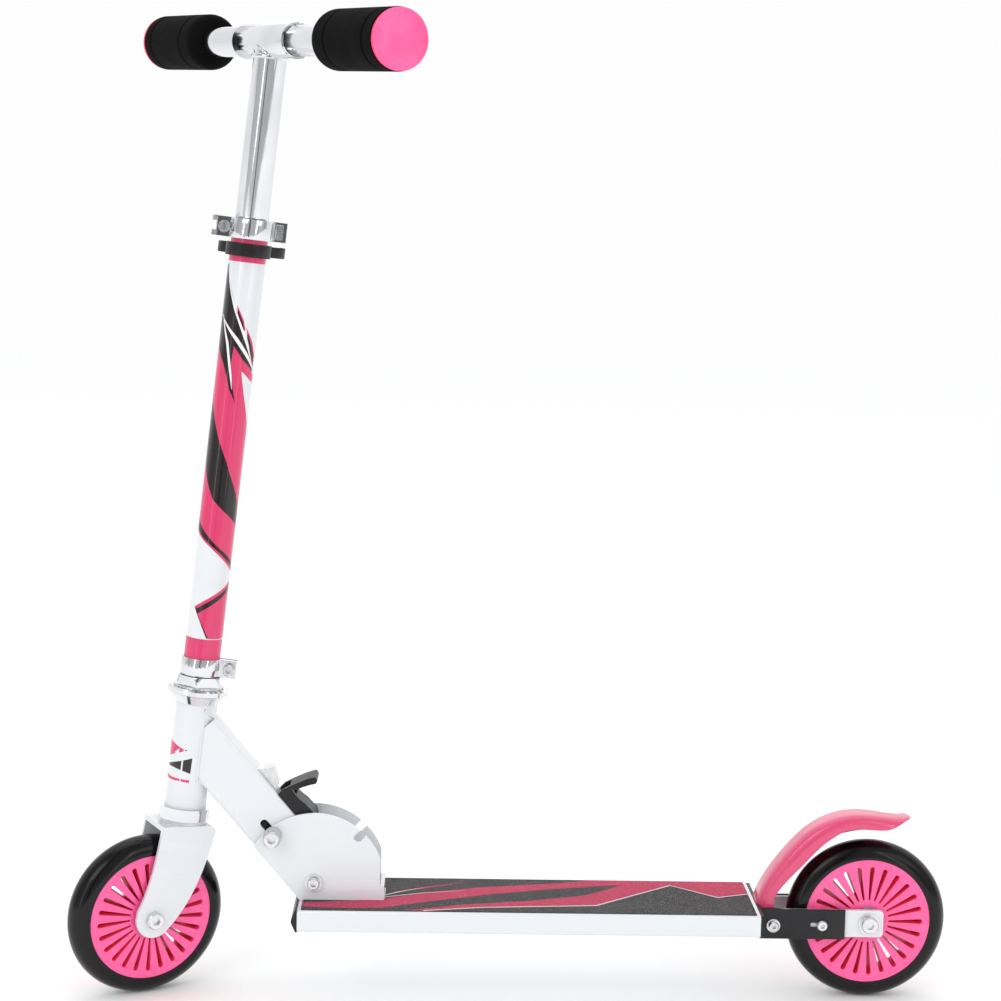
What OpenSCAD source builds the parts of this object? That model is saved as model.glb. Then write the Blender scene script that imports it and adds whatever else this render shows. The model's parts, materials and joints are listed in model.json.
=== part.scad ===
// Folding kick scooter with a telescopic handlebar, for a child.
// +X points to the rear, +Y to the rider's right, +Z up. The origin is on the ground,
// under the middle of the whole scooter. Steering stands turned to the left by steer_rest.

/* [Wheels] */
// Outer diameter of a tyre
wheel_d = 120; // [100:5:145]
// Width of a tyre, whose tread is a full half round
tyre_w = 24; // [20:1:28]
// Diameter of the moulded hub that carries the tyre
rim_d = 94; // [80:1:100]
// Width of the hub
hub_w = 22.8; // [18:0.2:26]
// Diameter of the solid boss inside the slots
boss_d = 31; // [28:1:36]
// Number of slots around the hub
slot_count = 25; // [12:1:30]
// Width of a slot at its outer end
slot_w = 3.5; // [1.5:0.1:4]
// Outer diameter of a wheel bearing
bearing_od = 22; // [19:1:26]
// Width of a wheel bearing
bearing_w = 7; // [5:1:9]
// Diameter of the axle bolts
axle_d = 8; // [6:1:10]

/* [Deck] */
// Length of the deck extrusion
deck_len = 340; // [280:5:420]
// Width of the deck
deck_w = 88; // [80:1:115]
// Thickness of the deck
deck_h = 16; // [12:1:22]
// Height of the deck's upper face above the ground
deck_top = 72.4; // [66:0.2:90]
// Wall of the deck extrusion
deck_wall = 2.4; // [1.6:0.1:3.2]
// Thickness of the grip tape
grip_tape_t = 0.8; // [0.5:0.1:1.5]
// White border left around the grip tape
tape_border = 2.6; // [1:0.2:6]
// Distance from the front tyre to the deck's front end, with the wheels straight
front_tyre_gap = 57.4; // [50:0.2:90]
// Distance from the deck's rear end to the rear tyre
rear_tyre_gap = 24.6; // [20:0.2:45]

/* [Folding joint] */
// Distance of the fold pivot behind the deck's front end
pivot_in = 10.5; // [8:0.5:24]
// Height of the fold pivot above the deck
pivot_up = 13.5; // [13:0.5:20]
// Radius of the two bracket plates around the pivot
plate_r = 52.3; // [48:0.1:58]
// Thickness of a bracket plate
plate_t = 3; // [2:0.5:4]
// Width of the arm between the plates
arm_w = 27; // [22:1:34]
// Height of the arm's box section
arm_h = 38; // [32:1:42]
// Offset of the arm's middle above the line from the pivot to the lock pin
arm_lift = 2.4; // [0:0.2:4]
// Lean of the arm forward from upright, in degrees
arm_angle = 40.5; // [36:0.5:46]
// Angle that the arm folds through, in degrees
fold_angle = 84; // [78:1:88]
// Distance from the pivot to the lock pin
lock_r = 47; // [44:0.5:48]
// Diameter of the lock pin
lock_d = 6; // [6:0.5:10]
// Travel of the lock pin out of its notch
lock_travel = 10; // [8:0.5:12]

/* [Steering] */
// Lean of the steering axis, in degrees
rake = 6.14; // [3:0.1:12]
// Distance of the front axle ahead of the steering axis
fork_offset = 22.3; // [15:0.1:30]
// Steering angle at rest, in degrees to the left
steer_rest = 29.4; // [0:0.1:45]
// Distance along the steering axis from the height of the tyre's top to the head tube
head_gap = 20.5; // [18:0.5:50]
// Length of the head tube
head_l = 79.3; // [65:0.1:90]
// Outer diameter of the head tube
head_d = 31; // [30:0.5:36]
// Diameter of the fork's steerer
steerer_d = 24; // [22:0.2:24.4]
// Width between the fork legs
fork_gap = 30; // [27:1:36]
// Thickness of the fork legs
fork_t = 3; // [2:0.5:4]
// Outer diameter of the painted steering tube
tube_d = 26.8; // [26:0.1:29]
// Wall of the steering tube
tube_wall = 1.3; // [1:0.1:1.4]
// Distance along the steering axis from the ground to the steering tube's upper end
tube_top = 575; // [480:5:620]

/* [Handlebar] */
// Distance along the steering axis from the ground to the handlebar
bar_reach = 703.4; // [690:0.2:840]
// Length over both grip caps
bar_span = 398; // [340:2:460]
// Diameter of a handlebar tube
bar_d = 22; // [19:0.2:22.2]
// Outer diameter of the sleeve across the stem
sleeve_d = 25.4; // [25:0.1:29]
// Length of the sleeve
sleeve_l = 84; // [76:1:100]
// Diameter of a foam grip
grip_d = 41.5; // [32:0.5:44]
// Length of a foam grip
grip_l = 91; // [80:1:110]
// Diameter of a snap button
button_d = 6; // [4:0.5:7]
// Travel of the telescopic stem
height_travel = 100; // [60:5:110]

/* [Brake] */
// Distance from the rear tyre to the fender's outer face
fender_gap = 21; // [20:0.5:28]
// Width of the fender
fender_w = 30; // [28:1:34]
// Wall of the fender
fender_wall = 2; // [1.5:0.1:2.5]
// Distance from the rear tyre to the fender's lower edge
fender_edge_gap = 10.5; // [8:0.5:14]
// Length of the fender's straight tail
tail_l = 28; // [20:1:34]

/* [Fits] */
// Radial clearance of every shaft, pin and sliding tube that moves
run_gap = 0.06; // [0.03:0.01:0.09]
// Clearance beside parts that pass each other
side_gap = 0.4; // [0.3:0.05:0.8]
// Radial clearance of a screw in its hole
hole_gap = 0.1; // [0.05:0.05:0.3]

/* [Hidden] */
$fn = 64;
eps = 0.01;

// Colours
paint_white = "white";
hot_pink = "hotpink";
raspberry = "#d8407a";
black_part = "#202022";
chrome_part = "silver";
steel_part = "gainsboro";

// Wheels and the ground
wheel_r = wheel_d / 2;
head_low = wheel_d + head_gap;
fender_r = wheel_r + fender_gap;
fender_edge_r = wheel_r + fender_edge_gap;
rear_axle_gap = wheel_r + rear_tyre_gap;
wheel_base = wheel_r + front_tyre_gap + deck_len + rear_axle_gap;
tread_r = tyre_w / 2;
tread_path_r = wheel_r - tread_r;
rim_r = rim_d / 2;
axle_r = axle_d / 2;
bearing_out = hub_w / 2 - 0.4;
bearing_in = bearing_out - bearing_w;

// The steered front wheel touches the ground, and the whole scooter is centred on X = 0
wheel_lean = asin(sin(rake) * sin(steer_rest));
axle_s = (tread_r + tread_path_r * cos(wheel_lean)
          - fork_offset * sin(rake) * cos(steer_rest)) / cos(rake);
front_dx_straight = axle_s * sin(rake) - fork_offset * cos(rake);
front_dx_rest = axle_s * sin(rake) - fork_offset * cos(rake) * cos(steer_rest);
front_reach = tread_path_r * sqrt(1 - pow(sin(steer_rest) * cos(rake), 2)) + tread_r;
rear_x = (wheel_base + front_dx_straight - front_dx_rest + front_reach - wheel_r) / 2;
head_x = rear_x - wheel_base - front_dx_straight;

// Deck
deck_rear_x = rear_x - rear_axle_gap;
deck_front_x = deck_rear_x - deck_len;
deck_bottom = deck_top - deck_h;
deck_corner = 2;
cell_w = (deck_w - 4 * deck_wall) / 3;
cap_t = 2.6;
cap_plug = 6;
tongue_l = 30;

// Fold pivot, bracket and arm
pivot_x = deck_front_x + pivot_in;
bracket_back_x = pivot_x + plate_r;
pivot_z = deck_top + pivot_up;
pivot_r = 4;
bracket_in = arm_w / 2 + side_gap;
bracket_out = bracket_in + plate_t;
base_t = 2.2;
rim_chamfer = 5.2;
rim_chamfer_t = 0.8 * plate_t;
knuckle_r = pivot_up - base_t - side_gap;
arm_low = arm_lift - arm_h / 2;
arm_high = arm_lift + arm_h / 2;
arm_wall = 2.2;
arm_corner = 3;
arm_l = (pivot_x - head_x - pivot_z * tan(rake)) / (sin(arm_angle) + cos(arm_angle) * tan(rake));
lock_pin_r = lock_d / 2;
lever_foot_w = 12;
lock_head_z = 15;
lock_head_r = 6.1;
spring_top = lock_r + 42;

// Steering stations along the axis, measured from the ground
steerer_r = steerer_d / 2;
crown_top = head_low - 12;
crown_web = 3.6;
cup_skirt = 9;
head_high = head_low + head_l;
ball_r = 2;
ball_z_low = 4.7;
ball_z_high = 3.8;
dust_top = head_high + 11.2;
washer_top = dust_top + 1.4;
locknut_top = washer_top + 7.4;
tube_low = locknut_top + 0.4;
tube_r = tube_d / 2;
tube_in = tube_r - tube_wall;
collar_h = 13;
clamp_slit = 2.4;
steerer_top = tube_low + 60;
clip_low = tube_top - 26;
clip_h = 9.5;
quick_low = tube_top - 13.5;
quick_h = 14.5;
quick_wall = 1.8;
quick_ear_t = 4.4;
quick_ear_y = clamp_slit / 2 + quick_ear_t;
quick_washer_r = 4.4;
quick_bolt_x = -sqrt(pow(tube_r + quick_wall, 2) - pow(quick_ear_y, 2)) - quick_washer_r - 0.1;
quick_bolt_r = 2.5;
quick_cam_r = 5.2;
quick_seat_t = 2.2;
quick_cam_y = quick_ear_y + quick_seat_t + quick_cam_r;
stem_r = tube_in - run_gap;
stem_wall = 1.6;
stem_low = tube_top - 125;

// Handlebar
bar_r = bar_d / 2;
bar_wall = 1.5;
sleeve_r = sleeve_d / 2;
sleeve_in = bar_r + run_gap;
bar_start = 8;
bar_stop = bar_span / 2 - 7;
grip_r = grip_d / 2;
grip_stop = bar_stop;
grip_start = grip_stop - grip_l;
button_at = sleeve_l / 2 - 12;
button_r = button_d / 2;

// Rear end
fork_in = fender_w / 2 + 0.5;
fork_out = fork_in + 3;
cover_in = fork_out + 0.1;
cover_out = cover_in + 2;
cover_l = 63.6;
rear_arm_h = 20.4;
rear_arm_end = 10.7;
brake_pivot_x = rear_x - wheel_r - 11.9;
brake_pivot_z = wheel_r - 1.4;
cover_screw_x = rear_x - 35.4;
brake_pin_r = 3;

// ---------- shared shapes ----------

// A point on a quadratic curve from a through the pull of b to c
function bend(a, b, c, n) =
    [for (i = [0:n]) let (t = i / n) (1 - t) * (1 - t) * a + 2 * t * (1 - t) * b + t * t * c];

// Points on an arc around c
function arc(c, r, from, to, n) =
    [for (i = [0:n]) let (w = from + (to - from) * i / n) c + r * [cos(w), sin(w)]];

module round_rect(w, h, r) {
    square([w - 2 * r, h], center = true);
    square([w, h - 2 * r], center = true);
    for (sx = [-1, 1], sy = [-1, 1])
        translate([sx * (w / 2 - r), sy * (h / 2 - r)])
            circle(r);
}

module ring(r_out, r_in, h) {
    difference() {
        cylinder(h = h, r = r_out);
        translate([0, 0, -1])
            cylinder(h = h + 2, r = r_in);
    }
}

// A flat outline in X and Z, given thickness from y0 to y1
module side_plate(y0, y1) {
    translate([0, y1, 0])
        rotate([90, 0, 0])
            linear_extrude(y1 - y0)
                children();
}

module both_sides() {
    children();
    mirror([0, 1, 0])
        children();
}

// Turns a shape that stands on Z so that it points to the left, -Y
module point_left() {
    rotate([90, 0, 0])
        children();
}

module hex_socket_head(r, h) {
    difference() {
        union() {
            cylinder(h = h - 1, r = r);
            translate([0, 0, h - 1])
                cylinder(h = 1, r1 = r, r2 = r - 0.8);
        }
        translate([0, 0, h - 2.4])
            cylinder(h = 4, r = r * 0.5, $fn = 6);
    }
}

module hex_nut(r, h, bore) {
    difference() {
        cylinder(h = h, r = r, $fn = 6);
        translate([0, 0, -1])
            cylinder(h = h + 2, r = bore);
    }
}

// ---------- frames of the moving parts ----------

// Steering axis on Z, straight ahead is -X
module head_frame() {
    translate([head_x, 0, 0])
        rotate([0, rake, 0])
            children();
}

// Same, turned to the resting steering angle
module steer_frame() {
    head_frame()
        rotate([0, 0, steer_rest])
            children();
}

// Same, square to the scooter's own length, for clamps that stand in line with the deck
module clamp_frame() {
    head_frame()
        children();
}

// Pivot at the origin, Z along the arm, X out of its upper face
module arm_frame() {
    translate([pivot_x, 0, pivot_z])
        rotate([0, -arm_angle, 0])
            children();
}

module front_wheel_frame() {
    steer_frame()
        translate([-fork_offset, 0, axle_s])
            rotate([90, 0, 0])
                children();
}

module rear_wheel_frame() {
    translate([rear_x, 0, wheel_r])
        rotate([90, 0, 0])
            children();
}

// Handlebar axis on Z, pointing to side = -1 for left or 1 for right
module bar_frame(side) {
    steer_frame()
        translate([0, 0, bar_reach])
            rotate([side * -90, 0, 0])
                children();
}

// ---------- wheels ----------

module tyre() {
    rotate_extrude($fn = 128)
        intersection() {
            translate([tread_path_r, 0])
                circle(tread_r);
            translate([rim_r, -tyre_w])
                square([wheel_r, 2 * tyre_w]);
        }
}

module hub() {
    slot_end = rim_r - 5.5 - slot_w / 2;
    slot_start = boss_d / 2 + 0.6;
    difference() {
        translate([0, 0, -hub_w / 2])
            cylinder(h = hub_w, r = rim_r, $fn = 128);
        for (i = [0:slot_count - 1])
            rotate([0, 0, i * 360 / slot_count])
                translate([0, 0, -hub_w])
                    linear_extrude(2 * hub_w) {
                        polygon([
                            [slot_start, -slot_w / 6], [slot_end, -slot_w / 2],
                            [slot_end, slot_w / 2], [slot_start, slot_w / 6]
                        ]);
                        translate([slot_end, 0])
                            circle(slot_w / 2, $fn = 24);
                    }
        for (s = [-1, 1])
            translate([0, 0, s * (bearing_in + hub_w / 2) - hub_w / 2])
                cylinder(h = hub_w, r = bearing_od / 2);
        translate([0, 0, -hub_w])
            cylinder(h = 2 * hub_w, r = bearing_od / 2 - 2);
    }
}

module wheel_bearings() {
    race = 1.8;
    for (s = [-1, 1])
        translate([0, 0, s * (bearing_in + bearing_w / 2)])
            rotate_extrude() {
                translate([bearing_od / 2 - race, -bearing_w / 2])
                    square([race, bearing_w]);
                translate([axle_r + run_gap, -bearing_w / 2])
                    square([race, bearing_w]);
                translate([axle_r + 1, -bearing_w / 2 + 0.6])
                    square([bearing_od / 2 - axle_r - 2, bearing_w - 1.2]);
            }
}

module bearing_sleeve() {
    translate([0, 0, -bearing_in])
        ring(axle_r + 1.6, axle_r + run_gap, 2 * bearing_in);
}

module wheel_spacers(inner_width) {
    from = bearing_out + 0.1;
    for (s = [0, 1])
        mirror([0, 0, s])
            translate([0, 0, from])
                ring(axle_r + 2.6, axle_r + hole_gap, inner_width / 2 - from);
}

// Bolt along Z with its head at +z_head and its thread ending at -z_end
module axle_bolt(r, head_r, head_h, z_head, z_end) {
    translate([0, 0, -z_end])
        cylinder(h = z_end + z_head + eps, r = r);
    translate([0, 0, z_head])
        hex_socket_head(head_r, head_h);
}

module front_tyre() { color(black_part) front_wheel_frame() tyre(); }
module front_hub() { color(hot_pink) front_wheel_frame() hub(); }
module front_bearings() { color(steel_part) front_wheel_frame() wheel_bearings(); }
module front_bearing_sleeve() { color(steel_part) front_wheel_frame() bearing_sleeve(); }
module front_wheel_spacers() { color(steel_part) front_wheel_frame() wheel_spacers(fork_gap); }

module front_axle_bolt() {
    outer = fork_gap / 2 + fork_t;
    color(chrome_part)
        front_wheel_frame()
            axle_bolt(axle_r, 6.3, 4.6, outer, outer + 7);
}

module front_axle_nut() {
    outer = fork_gap / 2 + fork_t;
    color(chrome_part)
        front_wheel_frame()
            translate([0, 0, -outer - 5.4])
                hex_nut(7.2, 5.4, axle_r);
}

module rear_tyre() { color(black_part) rear_wheel_frame() tyre(); }
module rear_hub() { color(hot_pink) rear_wheel_frame() hub(); }
module rear_bearings() { color(steel_part) rear_wheel_frame() wheel_bearings(); }
module rear_bearing_sleeve() { color(steel_part) rear_wheel_frame() bearing_sleeve(); }
module rear_wheel_spacers() { color(steel_part) rear_wheel_frame() wheel_spacers(2 * fork_in); }

module rear_axle_bolt() {
    color(chrome_part)
        rear_wheel_frame() {
            axle_bolt(axle_r, 6.3, 4.6, fork_out + 1.2, fork_out + 8);
            translate([0, 0, fork_out])
                ring(8, axle_r, 1.2);
        }
}

module rear_axle_nut() {
    color(chrome_part)
        rear_wheel_frame()
            translate([0, 0, -fork_out - 5.4])
                hex_nut(7.2, 5.4, axle_r);
}

// ---------- deck ----------

module deck() {
    color(paint_white)
        difference() {
            translate([deck_front_x, 0, deck_bottom + deck_h / 2])
                rotate([90, 0, 90])
                    linear_extrude(deck_len)
                        difference() {
                            round_rect(deck_w, deck_h, deck_corner);
                            for (i = [-1, 0, 1])
                                translate([i * (cell_w + deck_wall), 0])
                                    round_rect(cell_w, deck_h - 2 * deck_wall, 1);
                        }
            // The inner walls stop short of the rear fork's tongue
            translate([deck_rear_x - tongue_l - 0.2, -fork_in, deck_bottom + deck_wall])
                cube([tongue_l + 1, 2 * fork_in, deck_h - 2 * deck_wall]);
        }
}

module grip_tape() {
    color(black_part)
        difference() {
            translate([deck_front_x + tape_border, deck_corner + 0.4 - deck_w / 2, deck_top])
                cube([deck_len - 2 * tape_border, deck_w - 2 * deck_corner - 0.8, grip_tape_t]);
            translate([deck_front_x - 1, -bracket_out - 0.6, deck_top - 1])
                cube([bracket_back_x - deck_front_x + 1.6, 2 * bracket_out + 1.2, 4]);
        }
}

// Three plugs that push into the deck's cells from x
module cap_plugs(x) {
    for (i = [-1, 1])
        translate([x, i * (cell_w + deck_wall), deck_bottom + deck_h / 2])
            rotate([90, 0, 90])
                linear_extrude(cap_plug)
                    round_rect(cell_w - 0.4, deck_h - 2 * deck_wall - 0.4, 1);
}

module deck_front_cap() {
    mid = deck_bottom + deck_h / 2;
    color(black_part) {
        side_plate(-deck_w / 2, deck_w / 2)
            polygon([
                [deck_front_x, deck_bottom], [deck_front_x, deck_top + 0.4],
                [deck_front_x - 1.6, deck_top + 0.6], [deck_front_x - 4.4, mid + 1],
                [deck_front_x - 4.4, mid - 1], [deck_front_x - 1.2, deck_bottom]
            ]);
        cap_plugs(deck_front_x);
    }
}

module deck_rear_cap() {
    color(black_part)
        difference() {
            union() {
                translate([deck_rear_x, 0, deck_bottom + deck_h / 2])
                    rotate([90, 0, 90])
                        linear_extrude(cap_t)
                            round_rect(deck_w, deck_h, deck_corner);
                cap_plugs(deck_rear_x - cap_plug);
            }
            translate([deck_rear_x - cap_plug - 1, -fork_out - 0.2, deck_bottom - 1])
                cube([cap_t + cap_plug + 2, 2 * fork_out + 0.4, deck_h - deck_wall + 1.2]);
        }
}

// ---------- folding bracket ----------

// Where the bracket's plates end at the rear
module bracket_outline() {
    back = plate_r - 3.2;
    front = pivot_front_x();
    difference() {
        union() {
            intersection() {
                translate([pivot_x, pivot_z])
                    circle(plate_r, $fn = 128);
                polygon([
                    [front, deck_top], [pivot_x + back, deck_top],
                    [pivot_x + back, pivot_z + plate_r], [pivot_x - plate_r, pivot_z + plate_r],
                    [front - (plate_r + pivot_up) * tan(arm_angle), pivot_z + plate_r]
                ]);
            }
            translate([pivot_x + back - 6, deck_top])
                square([9.2, 12]);
        }
        // The two notches that the lock pin drops into
        for (w = [-arm_angle, fold_angle - arm_angle])
            translate([pivot_x, pivot_z])
                rotate(-w) {
                    translate([0, lock_r])
                        circle(lock_pin_r + run_gap, $fn = 32);
                    translate([-lock_pin_r - run_gap, lock_r])
                        square([lock_d + 2 * run_gap, plate_r]);
                }
        translate([pivot_x, pivot_z])
            circle(pivot_r + hole_gap);
    }
}

// The plates' front edge runs on from the arm's lower face down to the deck
function pivot_front_x() =
    pivot_x + arm_low / cos(arm_angle) + pivot_up * tan(arm_angle);

module folding_bracket() {
    color(paint_white) {
        side_plate(-bracket_out, -bracket_in)
            bracket_outline();
        difference() {
            side_plate(bracket_in, bracket_out)
                bracket_outline();
            // The folded front wheel swings past the right plate's rim, which is chamfered
            translate([pivot_x, bracket_out, pivot_z])
                rotate([-90, 0, 0])
                    rotate_extrude($fn = 128)
                        polygon([
                            [plate_r - rim_chamfer, 0], [plate_r + 4, 0],
                            [plate_r + 4, -rim_chamfer_t], [plate_r, -rim_chamfer_t]
                        ]);
        }
        translate([pivot_front_x() + 1, -bracket_in - eps, deck_top])
            cube([bracket_back_x - pivot_front_x() - 1, 2 * bracket_in + 2 * eps, base_t]);
        translate([bracket_back_x - 3, -bracket_in - eps, deck_top])
            cube([3, 2 * bracket_in + 2 * eps, 12]);
    }
}

module pivot_bolt() {
    color(chrome_part)
        translate([pivot_x, 0, pivot_z])
            point_left() {
                axle_bolt(pivot_r, 4.6, 3.8, bracket_out + 1.4, bracket_out + 5.5);
                translate([0, 0, bracket_out])
                    ring(6.6, pivot_r, 1.4);
            }
}

module pivot_nut() {
    color(chrome_part)
        translate([pivot_x, 0, pivot_z])
            point_left()
                translate([0, 0, -bracket_out - 4.6])
                    hex_nut(6.4, 4.6, pivot_r);
}

// ---------- arm and head tube ----------

module arm_profile() {
    polygon([
        [-knuckle_r, 0], [arm_low, 10], [arm_low, arm_l], [arm_high, arm_l],
        [arm_high, 14], [knuckle_r, 0]
    ]);
    circle(knuckle_r);
}

module head_arm() {
    slot_from = lock_r;
    slot_to = lock_r + lock_travel;
    wide = lock_pin_r + run_gap;
    vent_r = 2;
    color(paint_white)
        difference() {
            union() {
                difference() {
                    arm_frame()
                        intersection() {
                            side_plate(-arm_w / 2, arm_w / 2)
                                arm_profile();
                            translate([arm_lift, 0, -20])
                                linear_extrude(arm_l + 20)
                                    round_rect(arm_h, arm_w, arm_corner);
                        }
                    // Hollow of the box section
                    arm_frame()
                        translate([arm_lift, 0, 16])
                            linear_extrude(arm_l)
                                round_rect(arm_h - 2 * arm_wall, arm_w - 2 * arm_wall, 1.2);
                }
                head_frame()
                    translate([0, 0, head_low])
                        cylinder(h = head_l, r = head_d / 2);
            }
            arm_frame() {
                side_plate(-arm_w, arm_w)
                    circle(pivot_r + run_gap);
                // Slots that the lock pin slides in
                side_plate(-arm_w, arm_w) {
                    translate([0, slot_from])
                        circle(wide, $fn = 32);
                    translate([0, slot_to])
                        circle(wide, $fn = 32);
                    translate([-wide, slot_from])
                        square([2 * wide, lock_travel]);
                }
                // Window for the release lever's foot
                translate([arm_high - 2 * arm_wall, -lever_foot_w / 2 - side_gap, lock_r - 7])
                    cube([4 * arm_wall, lever_foot_w + 2 * side_gap, lock_travel + 14]);
            }
            head_frame()
                translate([0, 0, head_low - 1])
                    cylinder(h = head_l + 2, r = head_d / 2 - 2);
        }
    // Spring seat inside the arm, with a vent in its corner
    color(paint_white)
        arm_frame()
            difference() {
                translate([arm_low + arm_wall - eps, -arm_w / 2 + arm_wall - eps, spring_top])
                    cube([arm_h - 2 * arm_wall + 2 * eps, arm_w - 2 * arm_wall + 2 * eps, 2]);
                translate([arm_low + arm_wall + 4, 0, spring_top - 1])
                    cylinder(h = 4, r = vent_r, $fn = 32);
            }
}

module release_guard() {
    wide = 7.6;
    color(steel_part)
        arm_frame()
            difference() {
                side_plate(-wide, wide)
                    polygon([
                        [arm_high, 70.6], [arm_high + 5.2, 72.6], [arm_high + 10.2, 84.2],
                        [arm_high + 2.6, 88.4], [arm_high, 91]
                    ]);
                side_plate(-wide + 1.4, wide - 1.4)
                    polygon([
                        [arm_high - 1, 69], [arm_high + 3.4, 69], [arm_high + 8.3, 83.6],
                        [arm_high + 2, 86.8], [arm_high - 1, 86.8]
                    ]);
            }
}

module release_lever() {
    half = 12;
    pocket = 8.2;
    stem_top = 67.8;
    face = arm_high + 0.3;
    color(black_part)
        arm_frame() {
            difference() {
                union() {
                    side_plate(-half, half)
                        polygon(concat(
                            [[face, lock_r - 16], [face + 8, lock_r - 16], [face + 11.4, lock_r - 9]],
                            bend([face + 11, lock_r + 2], [face + 8.6, lock_r + 9],
                                 [face + 10.4, lock_r + 17], 6),
                            bend([face + 12, 61.4], [face + 20, 59.4], [face + 26.4, 55.6], 6),
                            bend([face + 28.4, 56.2], [face + 30, 58.6], [face + 29, 60.2], 5),
                            bend([face + 23.5, 62.6], [face + 13, 66], [face + 5, stem_top], 6),
                            [[face, stem_top - 0.6]]
                        ));
                    // Foot through the window to the lock pin
                    side_plate(-lever_foot_w / 2, lever_foot_w / 2) {
                        translate([0, lock_r])
                            circle(6.4);
                        translate([0, lock_r - 6.4])
                            square([face + 1, 12.8]);
                    }
                }
                side_plate(-pocket, pocket)
                    polygon([
                        [face - 1, stem_top + 2], [face - 1, 58], [face + 10.6, 58],
                        [face + 10.6, stem_top + 2]
                    ]);
                side_plate(-half - 1, half + 1)
                    translate([0, lock_r])
                        circle(lock_pin_r);
            }
        }
}

module lock_pin() {
    // The shank stops short of the plates and goes on outside them
    skin = 0.15;
    color(chrome_part)
        arm_frame()
            translate([0, 0, lock_r])
                point_left() {
                    translate([0, 0, -bracket_in + skin])
                        cylinder(h = 2 * (bracket_in - skin), r = lock_pin_r);
                    for (s = [0, 1])
                        mirror([0, 0, s]) {
                            translate([0, 0, bracket_out + skin])
                                cylinder(h = lock_head_z - 4 - skin, r = lock_pin_r);
                            translate([0, 0, bracket_out + lock_head_z - 4])
                                hex_socket_head(lock_head_r, 4);
                        }
                }
}

module lock_bushes() {
    skin = 0.15;
    color("lightgray")
        arm_frame()
            translate([0, 0, lock_r])
                point_left()
                    for (s = [0, 1])
                        mirror([0, 0, s])
                            translate([0, 0, bracket_out + skin])
                                ring(lock_head_r + 0.4, lock_pin_r, lock_head_z - 4 - skin);
}

// A round wire of radius wire that winds up from z0 to z1 with mean radius r
module coil(r, wire, z0, z1, turns) {
    sides = 8;
    steps = 12 * turns;
    pitch = (z1 - z0) / steps;
    points = [
        for (i = [0:steps], j = [0:sides - 1])
            let (w = 30 * i, v = 360 * j / sides, d = r + wire * cos(v))
                [d * cos(w), d * sin(w), z0 + pitch * i + wire * sin(v)]
    ];
    walls = [
        for (i = [0:steps - 1], j = [0:sides - 1])
            let (a = i * sides, k = (j + 1) % sides)
                [a + j, a + k, a + sides + k, a + sides + j]
    ];
    ends = [
        [for (j = [0:sides - 1]) sides - 1 - j],
        [for (j = [0:sides - 1]) steps * sides + j]
    ];
    polyhedron(points = points, faces = concat(walls, ends), convexity = 6);
}

module lock_spring() {
    color(steel_part)
        arm_frame()
            coil(4.6, 0.7, lock_r + 7.4, spring_top - 1, 7);
}

// ---------- headset ----------

module lower_cup() {
    color(chrome_part)
        head_frame()
            difference() {
                union() {
                    translate([0, 0, head_low - cup_skirt])
                        cylinder(h = cup_skirt, r = 19);
                    translate([0, 0, head_low - eps])
                        cylinder(h = 9, r = head_d / 2 - 2);
                }
                translate([0, 0, head_low - cup_skirt - 1])
                    cylinder(h = cup_skirt - 1.6, r = 17.2);
                translate([0, 0, head_low - cup_skirt - 1])
                    cylinder(h = cup_skirt + 20, r = steerer_r + side_gap);
            }
}

module upper_cup() {
    color(chrome_part)
        head_frame()
            difference() {
                union() {
                    translate([0, 0, head_high - 9])
                        cylinder(h = 9 + eps, r = head_d / 2 - 2);
                    translate([0, 0, head_high])
                        cylinder(h = 6.6, r1 = 17, r2 = 21.4);
                }
                translate([0, 0, head_high + 1.6])
                    cylinder(h = 8, r = 17.2);
                translate([0, 0, head_high - 20])
                    cylinder(h = 40, r = steerer_r + side_gap);
            }
}

module headset_balls() {
    color(steel_part)
        head_frame()
            for (z = [head_low - ball_z_low, head_high + ball_z_high], i = [0:15])
                rotate([0, 0, i * 22.5])
                    translate([15, 0, z])
                        sphere(ball_r, $fn = 24);
}

module crown_race() {
    color(steel_part)
        steer_frame()
            translate([0, 0, crown_top + 2.6])
                ring(15.6, steerer_r, head_low - ball_z_low - ball_r - 0.1 - crown_top - 2.6);
}

module upper_cone() {
    low = head_high + ball_z_high + ball_r + 0.1;
    color(steel_part)
        steer_frame()
            translate([0, 0, low])
                ring(15.6, steerer_r, dust_top - 2.4 - low);
}

module dust_cover() {
    skirt = head_high + 6.6 + side_gap;
    color(chrome_part)
        steer_frame()
            difference() {
                union() {
                    translate([0, 0, skirt])
                        cylinder(h = dust_top - skirt - 1, r = 22.4);
                    translate([0, 0, dust_top - 1 - eps])
                        cylinder(h = 1 + eps, r1 = 22.4, r2 = 20.4);
                }
                translate([0, 0, skirt - 1])
                    cylinder(h = dust_top - 2.4 - skirt + 1, r = 20.6);
                translate([0, 0, skirt - 1])
                    cylinder(h = 20, r = steerer_r);
            }
}

module toothed_washer() {
    color(steel_part)
        steer_frame()
            difference() {
                translate([0, 0, dust_top])
                    cylinder(h = washer_top - dust_top, r = 18.6);
                translate([0, 0, dust_top - 1])
                    cylinder(h = 4, r = steerer_r);
                for (i = [0:23])
                    rotate([0, 0, i * 15])
                        translate([18.2, -0.8, dust_top - 1])
                            cube([2, 1.6, 4]);
            }
}

module locknut() {
    color(chrome_part)
        steer_frame()
            difference() {
                intersection() {
                    translate([0, 0, washer_top])
                        cylinder(h = locknut_top - washer_top, r = 18, $fn = 6);
                    translate([0, 0, washer_top])
                        cylinder(h = locknut_top - washer_top, r1 = 18.6, r2 = 16.4);
                }
                translate([0, 0, washer_top - 1])
                    cylinder(h = 20, r = steerer_r);
            }
}

// ---------- fork ----------

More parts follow.
